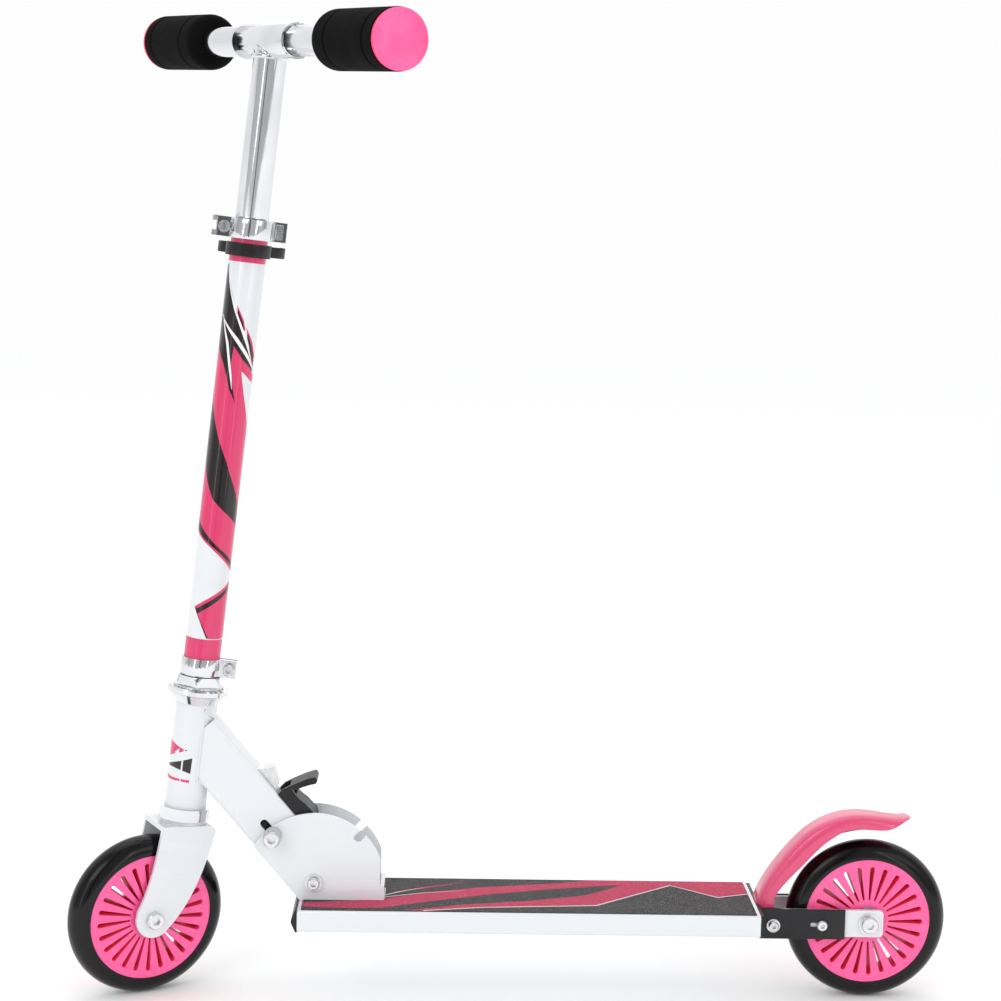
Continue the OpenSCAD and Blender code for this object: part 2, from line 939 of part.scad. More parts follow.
module leg_outline() {
    ax = -fork_offset;
    r = 13.8;
    polygon(concat(
        arc([ax, axle_s], r, 170, 318, 14),
        bend([ax + r * cos(318) + 1.4, axle_s + r * sin(318) + 1.8],
             [10, axle_s + 16], [18, crown_top - 8.6], 10),
        arc([14, crown_top - 5], 5, 0, 90, 5),
        bend([-23.4, crown_top], [-26.4, axle_s + 26], [-35.7, axle_s + 6], 10)
    ));
}

module fork() {
    leg_out = fork_gap / 2 + fork_t;
    color(paint_white)
        steer_frame() {
            difference() {
                side_plate(-leg_out, leg_out)
                    leg_outline();
                translate([-80, -fork_gap / 2, 0])
                    cube([160, fork_gap, crown_top - crown_web]);
                translate([-fork_offset, 0, axle_s])
                    side_plate(-50, 50)
                        circle(axle_r + hole_gap);
            }
            translate([0, 0, crown_top - eps])
                ring(16.8, steerer_r - 2, 2.6 + eps);
            translate([0, 0, crown_top - crown_web + eps])
                ring(steerer_r, steerer_r - 2, steerer_top - crown_top + crown_web);
        }
}

// ---------- steering tube and its clamps ----------

module steering_tube() {
    color(paint_white)
        steer_frame()
            difference() {
                translate([0, 0, tube_low])
                    ring(tube_r, tube_in, tube_top - tube_low);
                rotate([0, 0, -steer_rest]) {
                    translate([0, -clamp_slit / 2, tube_low - 1])
                        cube([2 * tube_r, clamp_slit, collar_h + 7]);
                    translate([-2 * tube_r, -clamp_slit / 2, quick_low - 3])
                        cube([2 * tube_r, clamp_slit, 40]);
                }
            }
}

// A split clamp ring with two ears along +X
module split_collar(r_in, r_out, h, ear_x, ear_t, slit) {
    difference() {
        union() {
            cylinder(h = h, r = r_out);
            translate([0, -slit / 2 - ear_t, 0])
                cube([ear_x, 2 * ear_t + slit, h]);
        }
        translate([0, 0, -1])
            cylinder(h = h + 2, r = r_in);
        translate([0, -slit / 2, -1])
            cube([2 * ear_x, slit, h + 2]);
    }
}

module clamp_collar() {
    bolt_x = tube_r + 7.6;
    color(chrome_part)
        clamp_frame()
            translate([0, 0, tube_low])
                difference() {
                    split_collar(tube_r, tube_r + 1.6, collar_h, tube_r + 13, 4.6, clamp_slit);
                    translate([bolt_x, 40, collar_h / 2])
                        rotate([90, 0, 0])
                            cylinder(h = 80, r = 2.5 + hole_gap);
                }
}

module clamp_bolt() {
    bolt_x = tube_r + 7.6;
    color(steel_part)
        clamp_frame()
            translate([bolt_x, 0, tube_low + collar_h / 2])
                point_left() {
                    axle_bolt(2.5, 4.3, 5, 5.8, 10.4);
                    translate([0, 0, -9.6])
                        hex_nut(4.6, 3.8, 2.5);
                }
}

module handle_clip() {
    hook_in = bar_r - 0.4;
    hook_wall = 2;
    hook_x = hook_in + 1.4;
    strap_x = tube_r + 0.6;
    hook_y = tube_r + 2.4 + hook_in;
    color(black_part)
        clamp_frame()
            translate([0, 0, clip_low]) {
                ring(tube_r + 3, tube_r, clip_h);
                translate([-4, -tube_r - 5, 0.6])
                    cube([10, 3, clip_h - 1.2]);
                // Two open hooks behind the tube hold the pulled-out handlebars
                difference() {
                    union() {
                        for (s = [-1, 1])
                            translate([s * hook_x, hook_y, 0.8])
                                ring(hook_in + hook_wall, hook_in, clip_h - 1.6);
                        for (x = [-strap_x - hook_wall, strap_x])
                            translate([x, 0, 0.8])
                                cube([hook_wall, hook_y, clip_h - 1.6]);
                    }
                    for (s = [-1, 1]) {
                        translate([s * hook_x, hook_y, -1])
                            cylinder(h = 20, r = hook_in);
                        translate([s * hook_x - 8, hook_y + 5, -1])
                            cube([16, 20, 20]);
                    }
                    translate([0, 0, -1])
                        cylinder(h = 20, r = tube_r);
                }
            }
}

module quick_collar() {
    color(chrome_part)
        clamp_frame()
            translate([0, 0, quick_low])
                difference() {
                    rotate([0, 0, 180])
                        split_collar(tube_r, tube_r + quick_wall, quick_h,
                                     quick_washer_r + 1 - quick_bolt_x, quick_ear_t, clamp_slit);
                    translate([quick_bolt_x, 40, quick_h / 2])
                        rotate([90, 0, 0])
                            cylinder(h = 80, r = 2.5 + hole_gap);
                }
}

// Saddle under the lever's cam, with two tines at its front end
module quick_seat() {
    color(steel_part)
        clamp_frame()
            translate([0, 0, quick_low])
                difference() {
                    translate([quick_bolt_x - 10, quick_ear_y, 0])
                        cube([10 + quick_washer_r, quick_seat_t, quick_h]);
                    translate([quick_bolt_x - 12, quick_ear_y - 1, 4])
                        cube([5, 10, quick_h - 8]);
                    translate([quick_bolt_x, 40, quick_h / 2])
                        rotate([90, 0, 0])
                            cylinder(h = 80, r = 2.5 + hole_gap);
                }
}

module quick_bolt() {
    color(steel_part)
        clamp_frame()
            translate([quick_bolt_x, 0, quick_low + quick_h / 2]) {
                point_left()
                    translate([0, 0, -quick_cam_y])
                        cylinder(h = quick_cam_y + quick_ear_y + 5.4, r = quick_bolt_r);
                translate([0, quick_cam_y, -quick_h / 2 + 0.4])
                    cylinder(h = quick_h - 0.8, r = quick_bolt_r + 0.1);
                point_left()
                    translate([0, 0, quick_ear_y]) {
                        ring(quick_washer_r, quick_bolt_r, 0.8);
                        translate([0, 0, 0.8])
                            hex_nut(quick_washer_r - 0.2, 3.6, quick_bolt_r);
                    }
            }
}

module quick_lever() {
    knuckle_h = 4.2;
    plate_y = tube_r + quick_wall + 0.6;
    tip_x = 25;
    cx = quick_bolt_x;
    color(chrome_part)
        clamp_frame()
            translate([0, 0, quick_low])
                difference() {
                    union() {
                        for (z = [0, quick_h - knuckle_h])
                            translate([0, 0, z]) {
                                translate([cx, quick_cam_y, 0])
                                    cylinder(h = knuckle_h, r = quick_cam_r);
                                linear_extrude(knuckle_h)
                                    polygon([
                                        [cx, quick_cam_y + quick_cam_r], [cx + 3, plate_y],
                                        [cx + 16, plate_y], [cx + 16, plate_y + 3.4]
                                    ]);
                            }
                        translate([cx + 9.4, plate_y, 0])
                            cube([tip_x - cx - 9.4, 3.4, quick_h]);
                    }
                    translate([cx, quick_cam_y, -1])
                        cylinder(h = quick_h + 2, r = quick_bolt_r + 0.1 + run_gap);
                    // Ribbed finger window near the tip
                    for (i = [0:3])
                        translate([tip_x - 9 + 1.7 * i, plate_y - 1, 2])
                            cube([0.9, 2.4, quick_h - 4]);
                }
}

// ---------- stem and handlebar ----------

module stem_tee() {
    slot_w = button_d + 0.6;
    color(chrome_part)
        steer_frame()
            difference() {
                union() {
                    translate([0, 0, stem_low])
                        cylinder(h = bar_reach - stem_low, r = stem_r);
                    translate([0, sleeve_l / 2, bar_reach])
                        rotate([90, 0, 0])
                            cylinder(h = sleeve_l, r = sleeve_r);
                    // Weld bead under the sleeve
                    translate([0, 0, bar_reach - sleeve_r + 1])
                        rotate_extrude()
                            translate([stem_r, 0])
                                circle(1.7);
                }
                translate([0, 0, stem_low - 1])
                    cylinder(h = bar_reach - sleeve_r - stem_low - 2, r = stem_r - stem_wall);
                translate([0, sleeve_l, bar_reach])
                    rotate([90, 0, 0])
                        cylinder(h = 2 * sleeve_l, r = sleeve_in);
                // Slots for the snap buttons, open to the sleeve's ends
                for (s = [-1, 1])
                    translate([0, 0, bar_reach])
                        rotate([0, 45, 0]) {
                            translate([0, s * button_at, 0])
                                cylinder(h = 30, r = slot_w / 2);
                            translate([-slot_w / 2, s > 0 ? button_at : -button_at - 40, 0])
                                cube([slot_w, 40, 30]);
                        }
            }
}

module bar_tube(side) {
    color(chrome_part)
        difference() {
            bar_frame(side)
                translate([0, 0, bar_start])
                    ring(bar_r, bar_r - bar_wall, bar_stop - bar_start);
            steer_frame()
                translate([0, side * button_at, bar_reach])
                    rotate([0, 45, 0])
                        cylinder(h = 30, r = button_r + run_gap);
        }
}

module grip(side) {
    edge = 6;
    groove = 0.9;
    color(black_part)
        bar_frame(side)
            rotate_extrude($fn = 96)
                difference() {
                    union() {
                        translate([bar_r, grip_start])
                            square([grip_r - bar_r - edge, grip_l]);
                        translate([bar_r, grip_start + edge])
                            square([grip_r - bar_r, grip_l - edge - 2]);
                        intersection() {
                            translate([grip_r - edge, grip_start + edge])
                                circle(edge);
                            translate([bar_r, grip_start])
                                square(grip_r);
                        }
                        translate([grip_r - 2, grip_stop - 2])
                            circle(2);
                        translate([bar_r, grip_stop - 4])
                            square([grip_r - bar_r - 2, 4]);
                    }
                    for (z = [grip_start + 22, grip_stop - 13])
                        translate([grip_r, z])
                            circle(groove, $fn = 24);
                }
}

module grip_cap(side) {
    dome = 3.4;
    cap_r = 20.3;
    color(hot_pink)
        bar_frame(side)
            rotate_extrude($fn = 96) {
                translate([0, grip_stop])
                    square([cap_r - 1.6, bar_span / 2 - grip_stop - dome + eps]);
                translate([0, grip_stop + 1.6])
                    square([cap_r, bar_span / 2 - grip_stop - dome - 1.6 + eps]);
                translate([cap_r - 1.6, grip_stop + 1.6])
                    circle(1.6, $fn = 32);
                intersection() {
                    translate([0, bar_span / 2 - dome_r(cap_r, dome)])
                        circle(dome_r(cap_r, dome), $fn = 200);
                    translate([0, bar_span / 2 - dome])
                        square([cap_r, dome]);
                }
                // Plug inside the tube
                translate([0, grip_stop - 14])
                    square([bar_r - bar_wall - 0.1, 14 + eps]);
            }
}

// Radius of a dome that is h high over a disc of radius r
function dome_r(r, h) = (r * r + h * h) / (2 * h);

module snap_button(side) {
    dome = 1;
    color(chrome_part)
        steer_frame()
            translate([0, side * button_at, bar_reach])
                rotate([0, 45, 0])
                    rotate_extrude() {
                        translate([0, 6])
                            square([button_r, sleeve_r - 5.6]);
                        translate([0, 5])
                            square([button_r + 1.4, 1.4]);
                        // Domed top, proud of the sleeve
                        intersection() {
                            translate([0, sleeve_r + 0.4 + dome - dome_r(button_r, dome)])
                                circle(dome_r(button_r, dome));
                            translate([0, sleeve_r + 0.4 - eps])
                                square([button_r, 2 * dome]);
                        }
                    }
}

module left_bar() { bar_tube(-1); }
module left_grip() { grip(-1); }
module left_cap() { grip_cap(-1); }
module left_button() { snap_button(-1); }
module right_bar() { bar_tube(1); }
module right_grip() { grip(1); }
module right_cap() { grip_cap(1); }
module right_button() { snap_button(1); }

// ---------- rear fork and brake ----------

module rear_fork() {
    start = deck_rear_x + cap_t + 0.3;
    tongue_z = deck_bottom + deck_wall + 0.2;
    color(paint_white) {
        both_sides()
            side_plate(fork_in, fork_out)
                difference() {
                    union() {
                        translate([(start + rear_x + rear_arm_end) / 2, wheel_r])
                            round_rect(rear_x + rear_arm_end - start, rear_arm_h, 3);
                        translate([deck_rear_x - tongue_l, tongue_z])
                            square([2 * tongue_l, deck_h - 2 * deck_wall - 0.4]);
                    }
                    translate([rear_x, wheel_r])
                        circle(axle_r + hole_gap);
                    translate([brake_pivot_x, brake_pivot_z])
                        circle(brake_pin_r + hole_gap);
                }
        // Cross bar that ties the two arms in front of the fender
        translate([deck_rear_x - tongue_l, -fork_in - eps, tongue_z])
            cube([tongue_l - 4, 2 * fork_in + 2 * eps, deck_h - 2 * deck_wall - 0.4]);
    }
}

module rear_cover() {
    low = wheel_r - 11.6;
    high = wheel_r + 11;
    x0 = deck_rear_x + cap_t + 0.2;
    color(black_part)
        both_sides()
            side_plate(cover_in, cover_out)
                difference() {
                    polygon([
                        [x0, low], [x0 + cover_l, low], [x0 + cover_l, high],
                        [x0 + 18, high], [x0 + 12, high + 0.9], [x0, high + 0.9]
                    ]);
                    translate([brake_pivot_x, brake_pivot_z])
                        circle(brake_pin_r + hole_gap);
                    translate([cover_screw_x, wheel_r - 1])
                        circle(2 + hole_gap);
                    translate([cover_screw_x - 8.6, wheel_r - 2.6])
                        square([5, 3.6]);
                }
}

module cover_screws() {
    color(chrome_part)
        both_sides()
            translate([cover_screw_x, 0, wheel_r - 1])
                point_left() {
                    translate([0, 0, fork_out])
                        cylinder(h = cover_out - fork_out + eps, r = 2);
                    translate([0, 0, cover_out])
                        hex_socket_head(4, 2.6);
                }
}

module brake_pivot_bolt() {
    color(chrome_part)
        translate([brake_pivot_x, 0, brake_pivot_z])
            point_left() {
                axle_bolt(brake_pin_r, 3.8, 3, cover_out + 0.8, cover_out + 3);
                translate([0, 0, cover_out])
                    ring(5, brake_pin_r, 0.8);
                translate([0, 0, -cover_out - 3.6])
                    hex_nut(5, 3.6, brake_pin_r);
            }
}

// Torsion spring around the brake's pivot bolt
module brake_spring() {
    color(steel_part)
        translate([brake_pivot_x, 0, brake_pivot_z])
            rotate([90, 0, 0])
                coil(brake_pin_r + 1.2, 0.8, -6, 6, 6);
}

module fender_section() {
    top = fender_r;
    difference() {
        translate([top / 2 + 20, 0])
            round_rect(top - 40, fender_w, 4);
        translate([(top - fender_wall) / 2 + 20, 0])
            round_rect(top - fender_wall - 40, fender_w - 2 * fender_wall, 2.2);
        translate([0, -fender_w])
            square([fender_edge_r, 2 * fender_w]);
    }
}

module brake_fender() {
    root = 186;
    tip = 89;
    ear_r = 6;
    color(raspberry)
        difference() {
            union() {
                rear_wheel_frame() {
                    rotate([0, 0, tip])
                        rotate_extrude(angle = root - tip, $fn = 128)
                            fender_section();
                    intersection() {
                        rotate([0, 0, tip - 90])
                            rotate([90, 0, 90])
                                linear_extrude(tail_l)
                                    fender_section();
                        translate([0, 0, -fender_w])
                            linear_extrude(2 * fender_w)
                                polygon([
                                    [-5, fender_edge_r - 5], [6, fender_edge_r - 2],
                                    [14, fender_edge_r + 0.8], [tail_l - 4, fender_edge_r + 4.4],
                                    [tail_l + 1, fender_edge_r + 7], [tail_l + 1, fender_r + 5],
                                    [-5, fender_r + 5]
                                ]);
                    }
                }
                both_sides()
                    side_plate(fender_w / 2 - fender_wall, fender_w / 2)
                        translate([brake_pivot_x, brake_pivot_z])
                            circle(ear_r);
            }
            translate([brake_pivot_x, 0, brake_pivot_z])
                side_plate(-50, 50)
                    circle(brake_pin_r + run_gap);
        }
}

module brake_pad() {
    half = 5;
    inner = wheel_r + 8.4;
    color(black_part)
        rear_wheel_frame()
            rotate([0, 0, 92])
                rotate_extrude(angle = 18, $fn = 128)
                    translate([inner, -half])
                        square([fender_r - fender_wall - inner, 2 * half]);
}

// ---------- the model ----------

deck();
grip_tape();
deck_front_cap();
deck_rear_cap();
folding_bracket();
pivot_bolt();
pivot_nut();
rear_fork();
rear_cover();
cover_screws();
brake_pivot_bolt();
brake_spring();
rear_axle_bolt();
rear_axle_nut();
rear_wheel_spacers();
rear_tyre();
rear_hub();
rear_bearings();
rear_bearing_sleeve();
brake_fender();
brake_pad();
head_arm();
upper_cup();
lower_cup();
headset_balls();
release_guard();
lock_spring();
lock_pin();
lock_bushes();
release_lever();
fork();
crown_race();
upper_cone();
dust_cover();
toothed_washer();
locknut();
clamp_collar();
clamp_bolt();
steering_tube();
handle_clip();
quick_collar();
quick_seat();
quick_bolt();
front_axle_bolt();
front_axle_nut();
front_wheel_spacers();
front_tyre();
front_hub();
front_bearings();
front_bearing_sleeve();
stem_tee();
quick_lever();
left_bar();
left_grip();
left_cap();
left_button();
right_bar();
right_grip();
right_cap();
right_button();
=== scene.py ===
"""Looks of a folding kick scooter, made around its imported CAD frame.

Metres. +X points to the rear, -Y to the side that the camera sees, +Z up.
"""
import json
import math

import bmesh
import bpy
from mathutils import Matrix, Vector, noise


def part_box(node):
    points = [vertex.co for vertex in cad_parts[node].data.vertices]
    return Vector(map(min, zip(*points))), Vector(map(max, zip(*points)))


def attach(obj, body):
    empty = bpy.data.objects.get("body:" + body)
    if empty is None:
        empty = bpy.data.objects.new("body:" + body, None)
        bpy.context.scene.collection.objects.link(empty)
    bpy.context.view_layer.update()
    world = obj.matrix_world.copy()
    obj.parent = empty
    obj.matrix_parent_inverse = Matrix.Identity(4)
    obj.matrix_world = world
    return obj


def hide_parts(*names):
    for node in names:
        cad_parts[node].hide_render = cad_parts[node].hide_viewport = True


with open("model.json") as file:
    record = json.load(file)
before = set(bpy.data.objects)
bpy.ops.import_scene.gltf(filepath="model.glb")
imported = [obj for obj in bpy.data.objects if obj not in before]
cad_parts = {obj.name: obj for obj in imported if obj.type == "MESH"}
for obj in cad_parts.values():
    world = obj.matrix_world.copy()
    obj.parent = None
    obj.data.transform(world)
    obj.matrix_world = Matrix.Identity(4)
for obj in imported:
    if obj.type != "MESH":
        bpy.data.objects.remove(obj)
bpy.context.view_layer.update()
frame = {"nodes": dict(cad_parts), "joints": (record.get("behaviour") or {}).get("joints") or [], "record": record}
nodes = frame["nodes"]
joints = {j["name"]: j for j in frame["joints"]}

MM = 0.001

# Radii and stations of the CAD pieces that the looks are made on
TUBE_R = 13.4 * MM
HEAD_R = 15.5 * MM
STEM_R = 12.04 * MM
SLEEVE_R = 12.7 * MM
GRIP_R = 20.75 * MM
GRIP_HOLE = 11.0 * MM
GRIP_FROM = 101 * MM
GRIP_TO = 192 * MM

# ---------- camera, light and floor ----------

CAMERA_AT = Vector((-0.05736, -1.63754, 0.56942))
CAMERA_LENS = 80.78
CAMERA_YAW = math.radians(1.503)
CAMERA_PITCH = math.radians(6.894)
CAMERA_ROLL = math.radians(1.158)


def make_camera():
    cos_p, sin_p = math.cos(CAMERA_PITCH), math.sin(CAMERA_PITCH)
    forward = Vector((math.sin(CAMERA_YAW) * cos_p, math.cos(CAMERA_YAW) * cos_p, -sin_p))
    level = Vector((math.cos(CAMERA_YAW), -math.sin(CAMERA_YAW), 0))
    upright = level.cross(forward)
    right = math.cos(CAMERA_ROLL) * level + math.sin(CAMERA_ROLL) * upright
    up = math.cos(CAMERA_ROLL) * upright - math.sin(CAMERA_ROLL) * level
    camera = bpy.data.objects.new("camera", bpy.data.cameras.new("camera"))
    camera.data.lens = CAMERA_LENS
    camera.data.sensor_width = 36
    camera.data.clip_start = 0.05
    turn = Matrix((right, up, -forward)).transposed().to_4x4()
    camera.matrix_world = Matrix.Translation(CAMERA_AT) @ turn
    bpy.context.scene.collection.objects.link(camera)
    bpy.context.scene.camera = camera


def area_light(name, at, aim, width, height, power, spread=180):
    light = bpy.data.lights.new(name, "AREA")
    light.shape = "RECTANGLE"
    light.size = width
    light.size_y = height
    light.energy = power
    light.spread = math.radians(spread)
    lamp = bpy.data.objects.new(name, light)
    lamp.matrix_world = Matrix.Translation(at) @ (
        (Vector(aim) - Vector(at)).to_track_quat("-Z", "Y").to_matrix().to_4x4()
    )
    bpy.context.scene.collection.objects.link(lamp)


# How bright the room is as light on the scooter, and as the backdrop that the camera sees
WORLD_LIGHT = 1.03
SEEN_LIGHT = 0.99


# What mirrors show of the room: degrees from the viewer's side, and how bright it is there.
# A narrow dark flag stands behind the viewer, and the sides are dimmer than the back.
ROOM = ((-180, 1.0), (-105, 0.95), (-80, 0.42), (-45, 0.62), (-14, 0.55), (-9, 0.10),
        (-2, 0.10), (3, 0.55), (40, 0.42), (62, 0.68), (82, 0.36), (105, 0.95), (180, 1.0))
COOL = 1.02


def background(tree, colour, strength):
    """A background shader with one colour, or with the colour that a socket gives."""
    node = tree.nodes.new("ShaderNodeBackground")
    node.inputs["Strength"].default_value = strength
    if isinstance(colour, tuple):
        node.inputs["Color"].default_value = (*colour, 1)
    else:
        tree.links.new(colour, node.inputs["Color"])
    return node.outputs[0]


def room_colour(tree):
    """The mirrored room's colour, by the direction around the scooter that a ray goes in."""
    place = tree.nodes.new("ShaderNodeTexCoord")
    axes = tree.nodes.new("ShaderNodeSeparateXYZ")
    tree.links.new(place.outputs["Generated"], axes.inputs[0])
    front = tree.nodes.new("ShaderNodeMath")
    front.operation = "MULTIPLY"
    front.inputs[1].default_value = -1
    tree.links.new(axes.outputs["Y"], front.inputs[0])
    around = tree.nodes.new("ShaderNodeMath")
    around.operation = "ARCTAN2"
    tree.links.new(axes.outputs["X"], around.inputs[0])
    tree.links.new(front.outputs[0], around.inputs[1])
    turn = tree.nodes.new("ShaderNodeMapRange")
    turn.inputs["From Min"].default_value = -math.pi
    turn.inputs["From Max"].default_value = math.pi
    tree.links.new(around.outputs[0], turn.inputs["Value"])
    sides = tree.nodes.new("ShaderNodeValToRGB")
    stops = sides.color_ramp.elements
    while len(stops) < len(ROOM):
        stops.new(0.5)
    for stop, (degrees, level) in zip(stops, ROOM):
        stop.position = (degrees + 180) / 360
        stop.color = (level, level, level * COOL, 1)
    tree.links.new(turn.outputs["Result"], sides.inputs["Fac"])
    return sides.outputs["Color"]


def make_world():
    """A pale room. Mirrors show it darker in places, so that chrome and black have contrast."""
    world = bpy.data.worlds.new("studio")
    world.use_nodes = True
    tree = world.node_tree
    tree.nodes.clear()
    mirrored = background(tree, room_colour(tree), 1.0)
    seen = background(tree, (1.0, 1.0, 1.0), SEEN_LIGHT)
    ray = tree.nodes.new("ShaderNodeLightPath")
    shown = background(tree, (0.97, 0.972, 0.975), WORLD_LIGHT)
    for is_ray, other in (("Is Glossy Ray", mirrored), ("Is Camera Ray", seen)):
        mix = tree.nodes.new("ShaderNodeMixShader")
        tree.links.new(ray.outputs[is_ray], mix.inputs["Fac"])
        tree.links.new(shown, mix.inputs[1])
        tree.links.new(other, mix.inputs[2])
        shown = mix.outputs[0]
    out = tree.nodes.new("ShaderNodeOutputWorld")
    tree.links.new(shown, out.inputs[0])
    bpy.context.scene.world = world


# The floor stops short in front, where mirrors are to show the room instead
FLOOR_HALF = 8
FLOOR_FRONT = -1.3


def make_floor():
    half, front = FLOOR_HALF, FLOOR_FRONT
    mesh = bpy.data.meshes.new("floor")
    corners = [(-half, front, 0), (half, front, 0), (half, half, 0), (-half, half, 0)]
    mesh.from_pydata(corners, [], [(0, 1, 2, 3)])
    floor = bpy.data.objects.new("floor", mesh)
    bpy.context.scene.collection.objects.link(floor)
    pale = bpy.data.materials.new("floor")
    pale.use_nodes = True
    shader = pale.node_tree.nodes["Principled BSDF"]
    shader.inputs["Base Color"].default_value = (0.985, 0.985, 0.985, 1)
    shader.inputs["Roughness"].default_value = 0.85
    shader.inputs["Specular IOR Level"].default_value = 0
    mesh.materials.append(pale)


def make_studio():
    make_world()
    make_floor()
    middle = (0, 0, 0.35)
    area_light("key", (-1.6, -2.2, 2.2), middle, 1.4, 1.4, 11)
    area_light("fill", (1.9, -1.9, 1.5), middle, 1.2, 1.2, 4)
    area_light("top", (0, 0.4, 2.8), middle, 2.6, 2.0, 8)
    area_light("back", (0.4, 2.4, 1.6), middle, 2.4, 1.8, 4)
    area_light("strip_left", (-1.55, -1.75, 0.75), (-0.2, 0, 0.4), 0.13, 1.7, 2.2)
    area_light("strip_right", (1.05, -1.9, 0.75), (-0.2, 0, 0.4), 0.13, 1.7, 2.2)
    bpy.context.scene.view_settings.view_transform = "Standard"


# ---------- materials ----------

class Finish:
    """A principled material whose colour, roughness and relief vary over the surface."""

    def __init__(self, name, rough, metallic=0.0, coat=0.0, coat_rough=0.04, specular=0.5):
        self.material = bpy.data.materials.new(name)
        self.material.use_nodes = True
        self.tree = self.material.node_tree
        self.shader = self.tree.nodes["Principled BSDF"]
        self.coordinates = self.add("ShaderNodeTexCoord")
        self.place = self.coordinates.outputs["Object"]
        self.shader.inputs["Metallic"].default_value = metallic
        self.shader.inputs["Coat Weight"].default_value = coat
        self.shader.inputs["Coat Roughness"].default_value = coat_rough
        self.shader.inputs["Specular IOR Level"].default_value = specular
        self.shader.inputs["Roughness"].default_value = rough
        self.rough = rough

    def add(self, kind, **settings):
        node = self.tree.nodes.new(kind)
        for key, value in settings.items():
            setattr(node, key, value)
        return node

    def link(self, out, into):
        self.tree.links.new(out, into)

    def noise(self, size, detail=4.0, stretch=(1, 1, 1), distortion=0.0):
        """Noise whose patches measure about size metres."""
        mapping = self.add("ShaderNodeMapping")
        mapping.inputs["Scale"].default_value = stretch
        self.link(self.place, mapping.inputs["Vector"])
        texture = self.add("ShaderNodeTexNoise")
        texture.inputs["Scale"].default_value = 1 / size
        texture.inputs["Detail"].default_value = detail
        texture.inputs["Distortion"].default_value = distortion
        self.link(mapping.outputs[0], texture.inputs["Vector"])
        return texture.outputs["Fac"]

    def cells(self, size, feature="F1"):
        texture = self.add("ShaderNodeTexVoronoi", feature=feature)
        texture.inputs["Scale"].default_value = 1 / size
        self.link(self.place, texture.inputs["Vector"])
        return texture

    def ramp(self, value, low, high, start=0.0, end=1.0):
        """value between low and high becomes start to end."""
        node = self.add("ShaderNodeMapRange")
        node.inputs["From Min"].default_value = low
        node.inputs["From Max"].default_value = high
        node.inputs["To Min"].default_value = start
        node.inputs["To Max"].default_value = end
        self.link(value, node.inputs["Value"])
        return node.outputs["Result"]

    def math(self, operation, first, second):
        node = self.add("ShaderNodeMath", operation=operation)
        self.link(first, node.inputs[0])
        if isinstance(second, (int, float)):
            node.inputs[1].default_value = second
        else:
            self.link(second, node.inputs[1])
        return node.outputs[0]

    def mixed(self, factor, first, second):
        node = self.add("ShaderNodeMix", data_type="RGBA")
        for socket, value in ((node.inputs["Factor"], factor), (node.inputs[6], first),
                              (node.inputs[7], second)):
            if isinstance(value, tuple):
                socket.default_value = (*value, 1)
            else:
                self.link(value, socket)
        return node.outputs[2]

    def colour(self, value):
        if isinstance(value, tuple):
            self.shader.inputs["Base Color"].default_value = (*value, 1)
        else:
            self.link(value, self.shader.inputs["Base Color"])

    def roughness(self, value):
        self.link(value, self.shader.inputs["Roughness"])

    def relief(self, height, depth, strength=1.0):
        """Bumps whose height runs over depth metres."""
        node = self.add("ShaderNodeBump")
        node.inputs["Distance"].default_value = depth
        node.inputs["Strength"].default_value = strength
        self.link(height, node.inputs["Height"])
        self.link(node.outputs["Normal"], self.shader.inputs["Normal"])

    def edges(self, radius):
        """1 on sharp outer edges, 0 on flat faces."""
        bevel = self.add("ShaderNodeBevel", samples=4)
        bevel.inputs["Radius"].default_value = radius
        face = self.add("ShaderNodeNewGeometry")
        dot = self.add("ShaderNodeVectorMath", operation="DOT_PRODUCT")
        self.link(bevel.outputs["Normal"], dot.inputs[0])
        self.link(face.outputs["Normal"], dot.inputs[1])
        return self.ramp(dot.outputs["Value"], 0.985, 0.80)


def gloss_paint(name, colour, wear_and_shade, rough=0.2):
    """Powder coat under clear lacquer: faint orange peel, dulled patches, and painted shade that darkens sharp
    edges in patches.
    """
    m = Finish(name, rough, coat=0.6, coat_rough=0.03)
    patches = m.noise(0.05, detail=5)
    tone = m.mixed(m.ramp(patches, 0.3, 0.8, 0.0, 0.07), colour, wear_and_shade)
    # Painted shade: sharp edges are darkened in noisy patches towards the second colour.
    edge_wear_and_shade = m.math("MULTIPLY", m.edges(0.5 * MM), m.ramp(m.noise(0.004), 0.45, 0.65, 0.0, 0.55))
    m.colour(m.mixed(edge_wear_and_shade, tone, wear_and_shade))
    smears = m.ramp(m.noise(0.02, detail=6, stretch=(1, 1, 0.35)), 0.3, 0.75, rough * 0.8, rough * 1.5)
    m.roughness(smears)
    m.relief(m.noise(0.0016, detail=2), 0.012 * MM)
    return m.material


def chrome_plate():
    m = Finish("chrome", 0.08, metallic=1.0)
    haze = m.noise(0.03, detail=6)
    m.colour(m.mixed(m.ramp(haze, 0.3, 0.75), (0.80, 0.81, 0.83), (0.70, 0.71, 0.73)))
    drawn = m.noise(0.0012, detail=3, stretch=(1, 1, 0.02))
    m.roughness(m.ramp(m.math("ADD", haze, drawn), 0.7, 1.4, 0.06, 0.17))
    m.relief(drawn, 0.003 * MM)
    return m.material


def zinc_steel():
    m = Finish("steel", 0.28, metallic=1.0)
    grain = m.noise(0.0025, detail=5)
    cloud = m.noise(0.015, detail=4)
    m.colour(m.mixed(m.ramp(cloud, 0.3, 0.7), (0.86, 0.87, 0.89), (0.72, 0.72, 0.73)))
    m.roughness(m.ramp(grain, 0.3, 0.7, 0.2, 0.42))
    m.relief(grain, 0.008 * MM)
    return m.material


